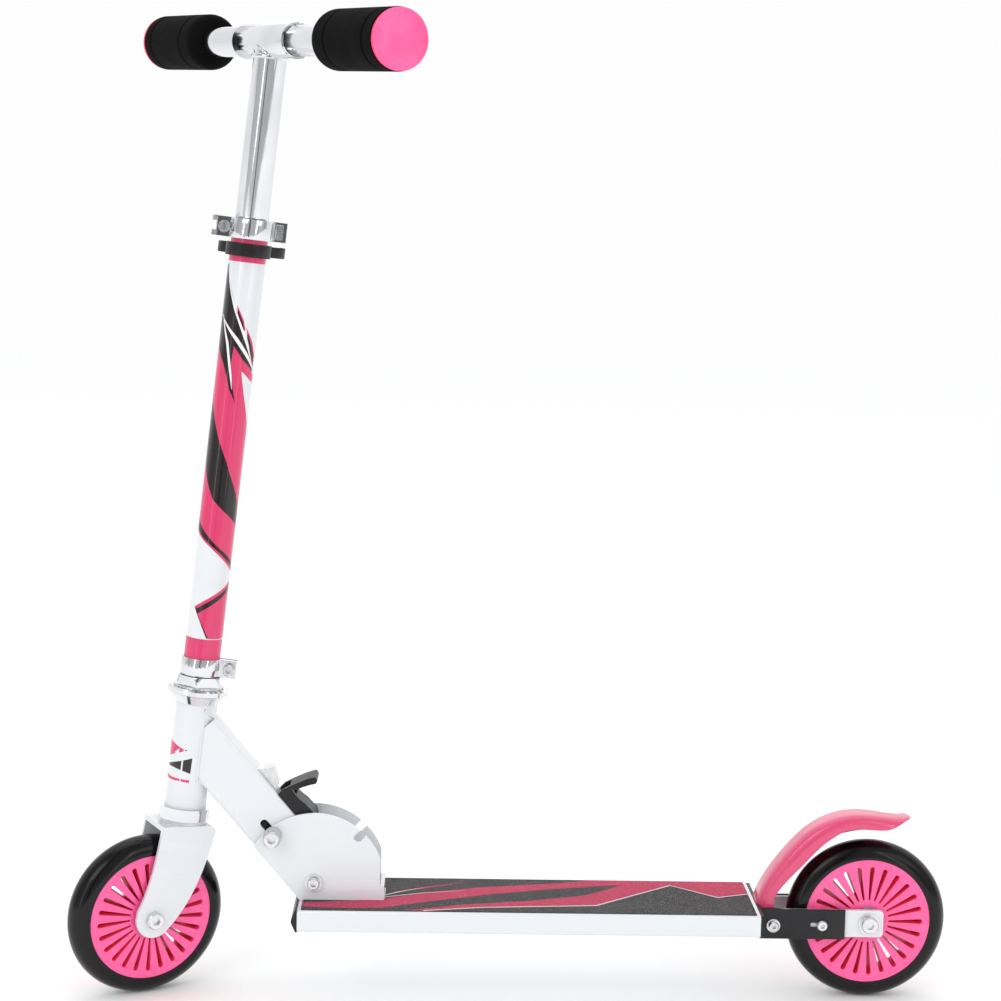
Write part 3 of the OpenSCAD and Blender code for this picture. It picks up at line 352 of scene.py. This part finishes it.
def tyre_rubber():
    """Cast polyurethane: glossy black with a faint bloom and dust in its pores."""
    m = Finish("tyre", 0.2, coat=0.1, coat_rough=0.08, specular=0.28)
    bloom = m.noise(0.018, detail=6)
    m.colour(m.mixed(m.ramp(bloom, 0.45, 0.8), (0.002, 0.0015, 0.002), (0.005, 0.0045, 0.005)))
    m.roughness(m.ramp(m.noise(0.006, detail=6), 0.3, 0.75, 0.13, 0.24))
    m.relief(m.noise(0.0009, detail=3), 0.012 * MM)
    return m.material


def gloss_plastic(name, colour, deep, rough=0.24):
    """Injection moulded plastic: flow marks, a fine skin, a painted highlight on sharp edges, and duller slot
    walls painted deep red as a glow of light through the plastic.
    """
    m = Finish(name, rough, coat=0.15)
    flow = m.noise(0.02, detail=4, distortion=1.5)
    tone = m.mixed(m.ramp(flow, 0.3, 0.8, 0.0, 0.35), colour, deep)
    # Painted highlight: sharp edges are tinted pale pink.
    tone = m.mixed(m.math("MULTIPLY", m.edges(0.4 * MM), 0.25), tone, (0.98, 0.75, 0.86))
    # Painted glow: faces turned away from the wheel's sides, such as the slot walls, become deep red, standing in
    # for light shining through the plastic; they are also made duller.
    facing = m.add("ShaderNodeSeparateXYZ")
    m.link(m.coordinates.outputs["Normal"], facing.inputs[0])
    glow_walls = m.ramp(m.math("ABSOLUTE", facing.outputs["Y"], 0), 0.75, 0.55)
    m.colour(m.mixed(glow_walls, tone, (0.95, 0.04, 0.13)))
    skin = m.ramp(m.noise(0.008, detail=5), 0.3, 0.75, rough * 0.8, rough * 1.5)
    m.roughness(m.math("MAXIMUM", skin, glow_walls))
    m.relief(m.noise(0.0011, detail=2), 0.010 * MM)
    m.shader.inputs["Subsurface Weight"].default_value = 0.3
    m.shader.inputs["Subsurface Radius"].default_value = (0.007, 0.0015, 0.0025)
    return m.material


def satin_plastic(name, colour, worn, rough):
    """Textured moulding: spark-eroded grain, paler on rubbed edges."""
    m = Finish(name, rough, specular=0.32)
    patches = m.noise(0.03, detail=5)
    tone = m.mixed(m.ramp(patches, 0.3, 0.75, 0.0, 0.5), colour, worn)
    edge_wear_and_shade = m.math("MULTIPLY", m.edges(0.5 * MM), m.ramp(m.noise(0.003), 0.4, 0.7, 0.1, 0.8))
    m.colour(m.mixed(edge_wear_and_shade, tone, worn))
    m.roughness(m.ramp(m.noise(0.005, detail=5), 0.3, 0.75, rough * 0.85, rough * 1.25))
    m.relief(m.noise(0.0006, detail=2), 0.02 * MM)
    return m.material


def grit(name, colour, dark, spark):
    """Abrasive sheet: grains about half a millimetre across, some of which glint."""
    m = Finish(name, 0.75, specular=0.35)
    grains = m.cells(0.55 * MM)
    tint = m.ramp(grains.outputs["Color"], 0.0, 1.0)
    base = m.mixed(tint, dark, colour)
    patches = m.ramp(m.noise(0.03, detail=5), 0.35, 0.75, 0.0, 0.3)
    base = m.mixed(patches, base, dark)
    glint = m.ramp(m.noise(0.45 * MM, detail=1), 0.66, 0.72)
    m.colour(m.mixed(glint, base, spark))
    m.roughness(m.ramp(glint, 0.0, 1.0, 0.85, 0.4))
    m.relief(m.ramp(grains.outputs["Distance"], 0.0, 0.7, 1.0, 0.0), 0.25 * MM)
    return m.material


def foam_rubber():
    """Closed cell foam: matt, with open pores painted darker as shade, and a slight bloom where hands rub it."""
    m = Finish("foam", 0.92, specular=0.06)
    pores = m.cells(0.9 * MM)
    pore_depth_and_shade = m.ramp(pores.outputs["Distance"], 0.05, 0.35)
    cloud = m.ramp(m.noise(0.02, detail=5), 0.35, 0.7, 0.0, 0.6)
    base = m.mixed(cloud, (0.003, 0.003, 0.0032), (0.006, 0.006, 0.0062))
    # Painted shade: the open pores are coloured darker than the foam around them.
    m.colour(m.mixed(pore_depth_and_shade, (0.0015, 0.0015, 0.0015), base))
    m.roughness(m.ramp(m.noise(0.01, detail=4), 0.3, 0.7, 0.82, 0.98))
    m.relief(m.math("ADD", pore_depth_and_shade, m.noise(0.0035, detail=3)), 0.16 * MM)
    m.shader.inputs["Sheen Weight"].default_value = 0.012
    m.shader.inputs["Sheen Roughness"].default_value = 0.5
    return m.material


def printed_film(name, colour, deep):
    """Printed sticker under the same lacquer as the tube."""
    m = Finish(name, 0.18, coat=0.4, coat_rough=0.03, specular=0.35)
    ink = m.noise(0.0007, detail=2)
    m.colour(m.mixed(m.ramp(ink, 0.3, 0.7, 0.0, 0.3), colour, deep))
    m.roughness(m.ramp(m.noise(0.02, detail=5), 0.3, 0.75, 0.14, 0.28))
    m.relief(m.noise(0.0018, detail=2), 0.010 * MM)
    return m.material


PAINT = (0.72, 0.745, 0.77)
MATERIALS = {
    "white_paint": gloss_paint("white_paint", PAINT, (0.62, 0.62, 0.61)),
    "grip_tape": grit("grip_tape", (0.11, 0.105, 0.108), (0.012, 0.011, 0.012), (0.55, 0.54, 0.55)),
    "chrome": chrome_plate(),
    "steel": zinc_steel(),
    "tyre": tyre_rubber(),
    "pink_hub": gloss_plastic("pink_hub", (0.98, 0.125, 0.37), (0.86, 0.06, 0.22)),
    "raspberry": gloss_paint("raspberry", (0.69, 0.058, 0.165), (0.42, 0.025, 0.08), rough=0.24),
    "black_plastic": satin_plastic("black_plastic", (0.012, 0.011, 0.013), (0.03, 0.03, 0.031), 0.38),
    "grey_plastic": satin_plastic("grey_plastic", (0.44, 0.45, 0.47), (0.6, 0.61, 0.63), 0.38),
    "foam": foam_rubber(),
    "brake_rubber": satin_plastic("brake_rubber", (0.02, 0.02, 0.02), (0.05, 0.05, 0.05), 0.7),
}
TAPE_RED = grit("tape_red", (0.72, 0.075, 0.16), (0.33, 0.02, 0.06), (0.95, 0.55, 0.62))
TAPE_WHITE = grit("tape_white", (0.82, 0.80, 0.80), (0.55, 0.50, 0.51), (0.98, 0.98, 0.98))
FILM_PINK = printed_film("film_pink", (0.70, 0.045, 0.15), (0.52, 0.03, 0.10))
FILM_BLACK = printed_film("film_black", (0.016, 0.011, 0.012), (0.006, 0.004, 0.005))
FILM_WHITE = printed_film("film_white", (0.84, 0.84, 0.85), (0.76, 0.76, 0.77))


# ---------- CAD pieces: finish and rounded edges ----------

SHARP_ANGLE = math.radians(28)
# How far edges are rounded, in millimetres, where it isn't USUAL_ROUNDING
ROUNDING = {
    "deck": 0.25, "folding_bracket": 0.5, "fork": 0.7,
    "release_lever": 0.7, "left_cap": 0.9, "right_cap": 0.9, "handle_clip": 0.5,
    "quick_lever": 0.6, "locknut": 0.5, "front_hub": 0.3, "rear_hub": 0.3, "rear_cover": 0.5,
}
USUAL_ROUNDING = 0.3
UNROUNDED = {
    "lock_spring", "brake_spring", "headset_balls", "front_tyre", "rear_tyre", "head_arm",
    "upper_cup", "lower_cup", "crown_race", "upper_cone", "dust_cover",
}


def dress_cad_nodes():
    for part in frame["record"]["subparts"]:
        node = nodes[part["node"]]
        material = MATERIALS[part["material_slot"]]
        for slot in node.material_slots:
            slot.link = "OBJECT"
            slot.material = material
        if part["node"] in UNROUNDED:
            continue
        weld = node.modifiers.new("weld", "WELD")
        weld.merge_threshold = 0.002 * MM
        bevel = node.modifiers.new("round_edges", "BEVEL")
        bevel.width = ROUNDING.get(part["node"], USUAL_ROUNDING) * MM
        bevel.segments = 2
        bevel.limit_method = "ANGLE"
        bevel.angle_limit = SHARP_ANGLE
        bevel.harden_normals = True
        bevel.use_clamp_overlap = True


# ---------- mesh helpers ----------

def add_piece(name, mesh, body, material, slot):
    piece = bpy.data.objects.new(name, mesh)
    bpy.context.scene.collection.objects.link(piece)
    mesh.materials.append(material)
    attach(piece, body)
    return piece


def lathe(name, outline, origin, axis, body, material, slot, sides=96):
    """Turns a closed outline of (distance along the axis, radius) around the axis."""
    axis = axis.normalized()
    across = axis.orthogonal().normalized()
    other = axis.cross(across)
    mesh = bpy.data.meshes.new(name)
    points = []
    for i in range(sides):
        w = 2 * math.pi * i / sides
        ray = math.cos(w) * across + math.sin(w) * other
        points += [origin + axis * along + ray * r for along, r in outline]
    n = len(outline)
    faces = [
        (i * n + j, i * n + (j + 1) % n, (i + 1) % sides * n + (j + 1) % n, (i + 1) % sides * n + j)
        for i in range(sides) for j in range(n)
    ]
    mesh.from_pydata(points, [], faces)
    shade(mesh, 40)
    return add_piece(name, mesh, body, material, slot)


def shade(mesh, angle):
    bm = bmesh.new()
    bm.from_mesh(mesh)
    bmesh.ops.recalc_face_normals(bm, faces=bm.faces)
    bm.to_mesh(mesh)
    bm.free()
    mesh.shade_smooth()
    mesh.set_sharp_from_angle(angle=math.radians(angle))


def flat_shell(name, outlines, place, low, high, step):
    """Closed sheet from flat outlines. It is cut every step along its first axis, then
    place(u, v, w) bends it; w runs from low to high through its thickness."""
    bm = bmesh.new()
    for outline in outlines:
        bm.faces.new([bm.verts.new((u, v, 0)) for u, v in outline])
    bmesh.ops.triangulate(bm, faces=bm.faces, ngon_method="EAR_CLIP")
    reach = [v.co.x for v in bm.verts]
    cut = min(reach) + step
    while cut < max(reach):
        bmesh.ops.bisect_plane(bm, geom=bm.verts[:] + bm.edges[:] + bm.faces[:],
                               plane_co=(cut, 0, 0), plane_no=(1, 0, 0))
        cut += step
    made = bmesh.ops.extrude_face_region(bm, geom=bm.faces[:], use_keep_orig=True)
    raised = {v for v in made["geom"] if isinstance(v, bmesh.types.BMVert)}
    for v in bm.verts:
        v.co = place(v.co.x, v.co.y, high if v in raised else low)
    bmesh.ops.recalc_face_normals(bm, faces=bm.faces)
    mesh = bpy.data.meshes.new(name)
    bm.to_mesh(mesh)
    bm.free()
    mesh.shade_smooth()
    mesh.set_sharp_from_angle(angle=math.radians(50))
    return mesh


def tapered_line(points, widths):
    """Outline of a stroke through points, with a width at each."""
    left, right = [], []
    for i, p in enumerate(points):
        ahead = points[min(i + 1, len(points) - 1)]
        behind = points[max(i - 1, 0)]
        along = Vector((ahead[0] - behind[0], ahead[1] - behind[1])).normalized()
        side = Vector((-along.y, along.x)) * widths[i] / 2
        left.append((p[0] + side.x, p[1] + side.y))
        right.append((p[0] - side.x, p[1] - side.y))
    return left + right[::-1]


# ---------- printed film on the steering tube and the head tube ----------

AXIS = Vector(joints["steer"]["axis"]).normalized()
FOOT = Vector(joints["steer"]["pos_m"])
FOOT = FOOT - AXIS * (FOOT.z / AXIS.z)
LEFT = Vector((0, -1, 0))
REAR = AXIS.cross(LEFT)
if REAR.x < 0:
    REAR = -REAR


def on_column(radius):
    """Place on a tube around the steering axis: angle from the left side in degrees towards
    the rear, and height along the axis in millimetres from the ground."""
    def place(angle, height, lift):
        w = math.radians(angle)
        ray = math.cos(w) * LEFT + math.sin(w) * REAR
        return FOOT + AXIS * (height * MM) + ray * (radius + lift)
    return place


FILM_IN = -0.02 * MM
FILM_STEP = 6


def film(name, outlines, radius, lift, body, material, slot):
    mesh = flat_shell(name, outlines, on_column(radius), FILM_IN, lift * MM, FILM_STEP)
    return add_piece(name, mesh, body, material, slot)


def degree_line(points, widths, radius):
    """Like tapered_line, for points in (degrees, millimetres) on a tube of that radius."""
    unit = math.radians(1) * radius / MM
    flat = tapered_line([(a * unit, h) for a, h in points], widths)
    return [(u / unit, h) for u, h in flat]


# Outlines in (degrees from the left side towards the rear, millimetres along the axis).
# Bands end at SEAM, on the tube's far side.
SEAM = 176
TUBE_PINK = [
    [(-SEAM, 545), (SEAM, 545), (SEAM, 561.4), (-SEAM, 561.4)],
    [(-SEAM, 249), (SEAM, 249), (SEAM, 268.4), (-SEAM, 268.4)],
    [(-SEAM, 520), (-120, 503), (-68, 500), (-6, 484.5), (25, 475.3), (70, 466.8), (95, 462),
     (95, 457.5), (60, 461), (26, 466.8), (31, 460.9), (45, 448.8), (64, 436.5), (90, 424),
     (130, 410), (SEAM, 400), (SEAM, 300), (130, 309), (95, 317), (73, 321.1), (-5, 336.1),
     (-60, 345), (-90, 351), (-130, 362), (-SEAM, 376)],
    [(-41, 291.4), (70, 310.3), (95, 314.5), (130, 304), (SEAM, 296), (SEAM, 269), (16, 269)],
    [(-10, 514.2), (16, 503.4), (24, 496.9), (17, 494.5), (-6, 507)],
    [(26, 498.8), (54, 488.6), (75, 478.5), (72, 469.5), (50, 479)],
]
TUBE_BLACK = [
    [(-65, 543.2), (-53, 533.5), (-42, 527.8), (-17, 513), (23, 494), (69, 469), (70, 466.8),
     (25, 475.3), (-6, 484.5), (-10, 470), (1, 457), (17, 443.3), (-6, 453), (-18, 461.8),
     (-36, 471.3), (-68, 481.5), (-100, 496), (-150, 524), (-110, 534)],
    [(-150, 490), (-100, 457), (-52, 433.8), (-21, 415.9), (14, 399), (25, 392.1), (49, 381),
     (67, 373), (94, 359), (150, 333), (110, 346), (78, 354), (20, 363.9), (-18, 371.8),
     (-60, 390.5), (-100, 414), (-130, 440)],
    [(-150, 374), (-95, 360.5), (-60, 353.1), (8, 338.7), (74, 327.3), (95, 322.5), (95, 319.3),
     (72, 323.7), (10, 335.4), (-63, 347.3), (-95, 355)],
    [(-37, 291), (-29, 290.6), (70, 307.6), (95, 312), (95, 308.6), (70, 304), (-26, 286.6),
     (17, 269.2), (11, 269.2)],
    [(-7, 511.6), (15, 501.4), (20, 496.6), (14, 497.2), (-5, 508)],
    [(30, 495.8), (51, 486.4), (71, 477.5), (69, 471.5), (50, 481), (33, 491)],
    [(-81, 250), (-74, 250), (-74, 267.4), (-81, 267.4)],
]
TUBE_WHITE = [
    degree_line([(-62, 540), (-42, 526.2), (-17, 511.4), (23, 492), (69, 469)],
                [0.2, 0.9, 1.3, 1.8, 0.3], TUBE_R),
    degree_line([(-66, 505.5), (-1, 489.6), (40, 478), (69, 469)], [0.5, 2.6, 2.4, 0.3], TUBE_R),
    degree_line([(-62, 506), (-29, 486.1), (-6, 463), (2, 453)], [0.4, 2.0, 1.4, 0.2], TUBE_R),
]
HEAD_PINK_HALF = [
    [(-90, 186.5), (-84, 190.5), (-60, 189.2), (-39, 187.4), (-15, 185.3), (-19, 183.4),
     (-90, 176)],
    [(-90, 165), (-51, 163.2), (-19, 163), (-19, 161.3), (-50, 161.1), (-90, 161.6)],
    [(-16, 163), (9, 162.9), (8, 160.8), (-16, 161.3)],
]
HEAD_BLACK_HALF = [
    [(-86, 170.5), (-19, 176.7), (-19, 169.7), (-44, 170.7)],
    [(-14, 177.2), (10, 179.6), (9, 167.8), (-14, 169.4)],
    [(-12, 185.4), (-4, 184.9), (-12, 184.4)],
]


def with_mirror(outlines):
    """The same outlines on the other side of the head tube's front."""
    return outlines + [[(-180 - a, h) for a, h in outline][::-1] for outline in outlines]


def make_films():
    film("tube_film_pink", TUBE_PINK, TUBE_R, 0.05, "steering", FILM_PINK, "raspberry")
    film("tube_film_black", TUBE_BLACK, TUBE_R, 0.08, "steering", FILM_BLACK, "black_plastic")
    film("tube_film_white", TUBE_WHITE, TUBE_R, 0.11, "steering", FILM_WHITE, "white_paint")
    film("head_film_pink", with_mirror(HEAD_PINK_HALF), HEAD_R, 0.05, "arm", FILM_PINK, "raspberry")
    film("head_film_black", with_mirror(HEAD_BLACK_HALF), HEAD_R, 0.06, "arm", FILM_BLACK,
         "black_plastic")


# ---------- print on the grip tape ----------

TAPE_LOW, TAPE_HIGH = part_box("grip_tape")
TAPE_END = TAPE_HIGH.x / MM - 0.3
TAPE_SIDE = TAPE_HIGH.y / MM - 0.2
TAPE_START = TAPE_LOW.x / MM + 0.3
ZIGZAG = [(-66, -TAPE_SIDE), (-23, -32), (62, -24), (122, 30), (155, 0), (TAPE_END, 10)]
TAPE_RED_PRINT = [
    [(-98, -14), (-61, 5), (-22, 19), (37, 32), (63, TAPE_SIDE), (TAPE_END, TAPE_SIDE)]
    + ZIGZAG[::-1]
    + [(-78, -TAPE_SIDE), (-42, -27), (16, -13), (54, 1), (71, 16), (86, 30), (36, 18),
       (-17, 1), (-60, -18), (-98, -36), (-136, -37), (TAPE_START, -34), (TAPE_START, -25),
       (-136, -22)],
    tapered_line([(-92, 2), (-66, 16), (-36, 31)], [0.6, 3.4, 0.4]),
]
TAPE_WHITE_PRINT = [
    tapered_line(ZIGZAG, [1.6] * len(ZIGZAG)),
    tapered_line([(-98, -6), (-80, 8), (-66, 16)], [1.6, 1.2, 0.2]),
    tapered_line([(-98, -10), (-66, 3), (-34, 10)], [1.2, 0.9, 0.2]),
]


def make_tape_print():
    top = TAPE_HIGH.z

    def place(x, y, lift):
        return Vector((x * MM, y * MM, top + lift))

    for name, outlines, lift, material, slot in (
        ("tape_print_red", TAPE_RED_PRINT, 0.05, TAPE_RED, "raspberry"),
        ("tape_print_white", TAPE_WHITE_PRINT, 0.08, TAPE_WHITE, "white_paint"),
    ):
        mesh = flat_shell(name, outlines, place, -0.1 * MM, lift * MM, 40)
        add_piece(name, mesh, "deck_frame", material, slot)


# ---------- foam grips ----------

def middle_of(node):
    low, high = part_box(node)
    return (low + high) / 2


BAR_MIDDLE = (middle_of("left_cap") + middle_of("right_cap")) / 2
GROOVES = (124 * MM, 180 * MM)
GROOVE_HALF = 1.6 * MM
GROOVE_DEPTH = 0.9 * MM


def grip_radius(along):
    """Radius of the foam at a distance along the bar: round inner end, two shallow grooves."""
    r = GRIP_R
    inner = 9 * MM
    if along < GRIP_FROM + inner:
        t = 1 - (along - GRIP_FROM) / inner
        r = GRIP_R - 7 * MM * (1 - math.sqrt(max(0.0, 1 - t * t)))
    for groove in GROOVES:
        t = abs(along - groove) / GROOVE_HALF
        if t < 1:
            r -= GROOVE_DEPTH * 0.5 * (1 + math.cos(math.pi * t))
    return r


def grip_outline():
    steps = 150
    outline = [(GRIP_FROM, GRIP_HOLE + 0.1 * MM)]
    for i in range(steps + 1):
        along = GRIP_FROM + (GRIP_TO - GRIP_FROM) * i / steps
        outline.append((along, grip_radius(along)))
    outline.append((GRIP_TO, GRIP_HOLE + 0.1 * MM))
    return outline


def make_grips():
    for side in ("left", "right"):
        axis = Vector(joints[side + "_pull"]["axis"])
        foam = lathe(side + "_foam_grip", grip_outline(), BAR_MIDDLE, axis, side + "_handle",
                     MATERIALS["foam"], "foam")
        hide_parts(side + "_grip")


# ---------- tyres ----------

def tyre_outline():
    """Half round tread with a fine parting line, and a small lip against the hub."""
    tread_r, path_r, rim_r = 12 * MM, 48 * MM, 47.05 * MM
    outline = []
    steps = 64
    start = math.asin((rim_r - path_r) / tread_r)
    for i in range(steps + 1):
        w = start + (math.pi - 2 * start) * i / steps
        ridge = 0.12 * MM * math.exp(-((w - math.pi / 2) / 0.02) ** 2)
        r = tread_r - 0.12 * MM + ridge
        outline.append((r * math.cos(w), path_r + r * math.sin(w)))
    return outline


def make_tyres():
    for side in ("front", "rear"):
        spin = joints[side + "_wheel_spin"]
        tyre = lathe(side + "_tyre_cast", tyre_outline(), Vector(spin["pos_m"]),
                     Vector(spin["axis"]), side + "_wheel", MATERIALS["tyre"], "tyre", sides=160)
        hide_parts(side + "_tyre")


# ---------- fender ----------

# Millimetres in the scooter's middle plane, from the pivot ears to the tail's tip: a point on
# the crown and the point of the skirt's edge that belongs to it
FENDER_STATIONS = [
    ((188, 53.5), (199, 53.5)), ((184, 60), (200, 60)), ((182.3, 68), (196.5, 68.5)),
    ((184, 78), (195.5, 77)), ((190, 90.5), (200, 85)), ((198, 102.5), (208, 94.5)),
    ((208, 115), (217, 104)), ((220, 127), (227, 115)), ((233, 135.2), (236.5, 123.2)),
    ((246, 139.6), (246.8, 129.3)), ((258.5, 141), (257.5, 131)), ((270, 140.4), (269, 130.6)),
    ((280, 139.2), (278.5, 130.7)), ((288, 138.6), (285.5, 133)), ((294, 138.6), (291.5, 136)),
    ((297.5, 138.3), (296.5, 137.4)),
]
FENDER_HALF_W = 15
FENDER_WALL = 2 * MM
# The station where the tail starts to narrow, and the half widths from there
FENDER_TAIL = 11
TAIL_TAPER = (15, 14.8, 13.8, 11, 5.5)
# How square the section is (2 is round) along the channel and at the tail's tip
CHANNEL_SQUARE = 4.2
TIP_SQUARE = 2.4
SQUARE_LOSS = 0.6
STEPS_BETWEEN = 6
STEPS_AROUND = 32


def through(values, t):
    """A smooth curve through values, t counted in values."""
    i = min(int(t), len(values) - 2)
    f = t - i
    a, b = values[max(i - 1, 0)], values[i]
    c, d = values[i + 1], values[min(i + 2, len(values) - 1)]
    return b + 0.5 * f * (c - a + f * (2 * a - 5 * b + 4 * c - d + f * (3 * (b - c) + d - a)))


def make_fender():
    """A channel lofted over the rear wheel: round shoulders, skirts, and a tail that narrows."""
    crown = [Vector((x, 0, z)) for (x, z), _ in FENDER_STATIONS]
    skirt = [Vector((x, 0, z)) for _, (x, z) in FENDER_STATIONS]
    count = len(FENDER_STATIONS)
    half = [FENDER_HALF_W] * FENDER_TAIL + list(TAIL_TAPER)
    along, around = STEPS_BETWEEN * (count - 1), STEPS_AROUND
    bm = bmesh.new()
    rows = []
    for i in range(along + 1):
        t = i * (count - 1) / along
        top, edge, w = through(crown, t), through(skirt, t), through(half, t)
        tail = max(0.0, t - FENDER_TAIL + 1)
        square = max(TIP_SQUARE, CHANNEL_SQUARE - SQUARE_LOSS * tail)
        row = []
        for k in range(around + 1):
            a = math.pi * k / around
            y = -w * math.copysign(abs(math.cos(a)) ** (2 / square), math.cos(a))
            rise = abs(math.sin(a)) ** (2 / square)
            at = edge.lerp(top, rise)
            row.append(bm.verts.new((at.x * MM, y * MM, at.z * MM)))
        rows.append(row)
    for low, high in zip(rows, rows[1:]):
        for k in range(around):
            bm.faces.new((low[k], low[k + 1], high[k + 1], high[k]))
    bmesh.ops.recalc_face_normals(bm, faces=bm.faces)
    mesh = bpy.data.meshes.new("fender_shell")
    bm.to_mesh(mesh)
    bm.free()
    mesh.shade_smooth()
    crown_face = mesh.polygons[along // 2 * around + around // 2]
    if crown_face.normal.z < 0:
        mesh.flip_normals()
    fender = add_piece("fender_shell", mesh, "brake", MATERIALS["raspberry"], "raspberry")
    wall = fender.modifiers.new("wall", "SOLIDIFY")
    wall.thickness = FENDER_WALL
    wall.offset = -1
    wall.use_even_offset = False
    soft = fender.modifiers.new("soft_rim", "BEVEL")
    soft.width = 0.6 * MM
    soft.segments = 2
    soft.limit_method = "ANGLE"
    soft.angle_limit = math.radians(50)
    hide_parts("brake_fender")


# ---------- welds ----------

def bead(name, points, radius, body, material, slot, closed=True):
    """A weld bead: a round seam along points that swells and narrows in small ripples."""
    sides = 10
    mesh = bpy.data.meshes.new(name)
    verts = []
    count = len(points)
    for i, p in enumerate(points):
        ahead = points[(i + 1) % count] if closed else points[min(i + 1, count - 1)]
        behind = points[i - 1] if closed else points[max(i - 1, 0)]
        along = (ahead - behind).normalized()
        across = along.orthogonal().normalized()
        reference = AXIS - along * AXIS.dot(along)
        if reference.length > 0.2:
            across = reference.normalized()
        other = along.cross(across)
        swell = radius * (1 + 0.10 * math.sin(i * 1.9) + 0.08 * noise.noise(p * 900))
        for k in range(sides):
            w = 2 * math.pi * k / sides
            verts.append(p + (math.cos(w) * across + math.sin(w) * other) * swell)
    faces = []
    for i in range(count if closed else count - 1):
        j = (i + 1) % count
        for k in range(sides):
            m = (k + 1) % sides
            faces.append((i * sides + k, i * sides + m, j * sides + m, j * sides + k))
    if not closed:
        faces.append(tuple(range(sides))[::-1])
        faces.append(tuple((count - 1) * sides + k for k in range(sides)))
    mesh.from_pydata(verts, [], faces)
    shade(mesh, 60)
    return add_piece(name, mesh, body, material, slot)


def make_tee_weld():
    """Where the stem's tube meets the sleeve that holds the bars."""
    bar = Vector(joints["left_pull"]["axis"]).normalized()
    cross = AXIS.cross(bar)
    points = []
    for i in range(90):
        w = 2 * math.pi * i / 90
        over = STEM_R * math.sin(w)
        drop = math.sqrt(SLEEVE_R ** 2 - over ** 2)
        out = bar * (STEM_R * math.cos(w)) + cross * over
        points.append(BAR_MIDDLE + out - AXIS * drop)
    bead("tee_weld", points, 1.1 * MM, "stem", MATERIALS["chrome"], "chrome")


ARM_TILT = math.radians(40.5)
ARM_HIGH = 21.4 * MM
ARM_LOW = -16.6 * MM
ARM_HALF_W = 13.5 * MM


def make_arm_weld():
    """Where the box section of the folding arm meets the head tube."""
    pivot = Vector(joints["fold"]["pos_m"])
    up = Vector((math.cos(ARM_TILT), 0, math.sin(ARM_TILT)))
    rear = math.sqrt(HEAD_R ** 2 - ARM_HALF_W ** 2)

    def station(height, over):
        """Height along the axis where the arm's face at that height meets the tube."""
        out = math.sqrt(max(0.0, HEAD_R ** 2 - over ** 2))
        at = FOOT + REAR * out + LEFT * over
        return (height - (at - pivot).dot(up)) / AXIS.dot(up), out

    points = []
    steps = 24
    for i in range(steps + 1):
        over = ARM_HALF_W * (1 - 2 * i / steps)
        s, out = station(ARM_HIGH, over)
        points.append(FOOT + AXIS * s + REAR * out + LEFT * over)
    high, _ = station(ARM_HIGH, ARM_HALF_W)
    low, _ = station(ARM_LOW, ARM_HALF_W)
    for i in range(1, 2 * steps):
        s = high + (low - high) * i / (2 * steps)
        points.append(FOOT + AXIS * s + REAR * rear - LEFT * ARM_HALF_W)
    for i in range(steps + 1):
        over = -ARM_HALF_W * (1 - 2 * i / steps)
        s, out = station(ARM_LOW, over)
        points.append(FOOT + AXIS * s + REAR * out + LEFT * over)
    for i in range(1, 2 * steps):
        s = low + (high - low) * i / (2 * steps)
        points.append(FOOT + AXIS * s + REAR * rear + LEFT * ARM_HALF_W)
    bead("arm_weld", points, 1.0 * MM, "arm", MATERIALS["white_paint"], "white_paint")


# ---------- the whole ----------

make_camera()
make_studio()
dress_cad_nodes()
make_films()
make_tape_print()
make_grips()
make_tyres()
make_fender()
make_tee_weld()
make_arm_weld()
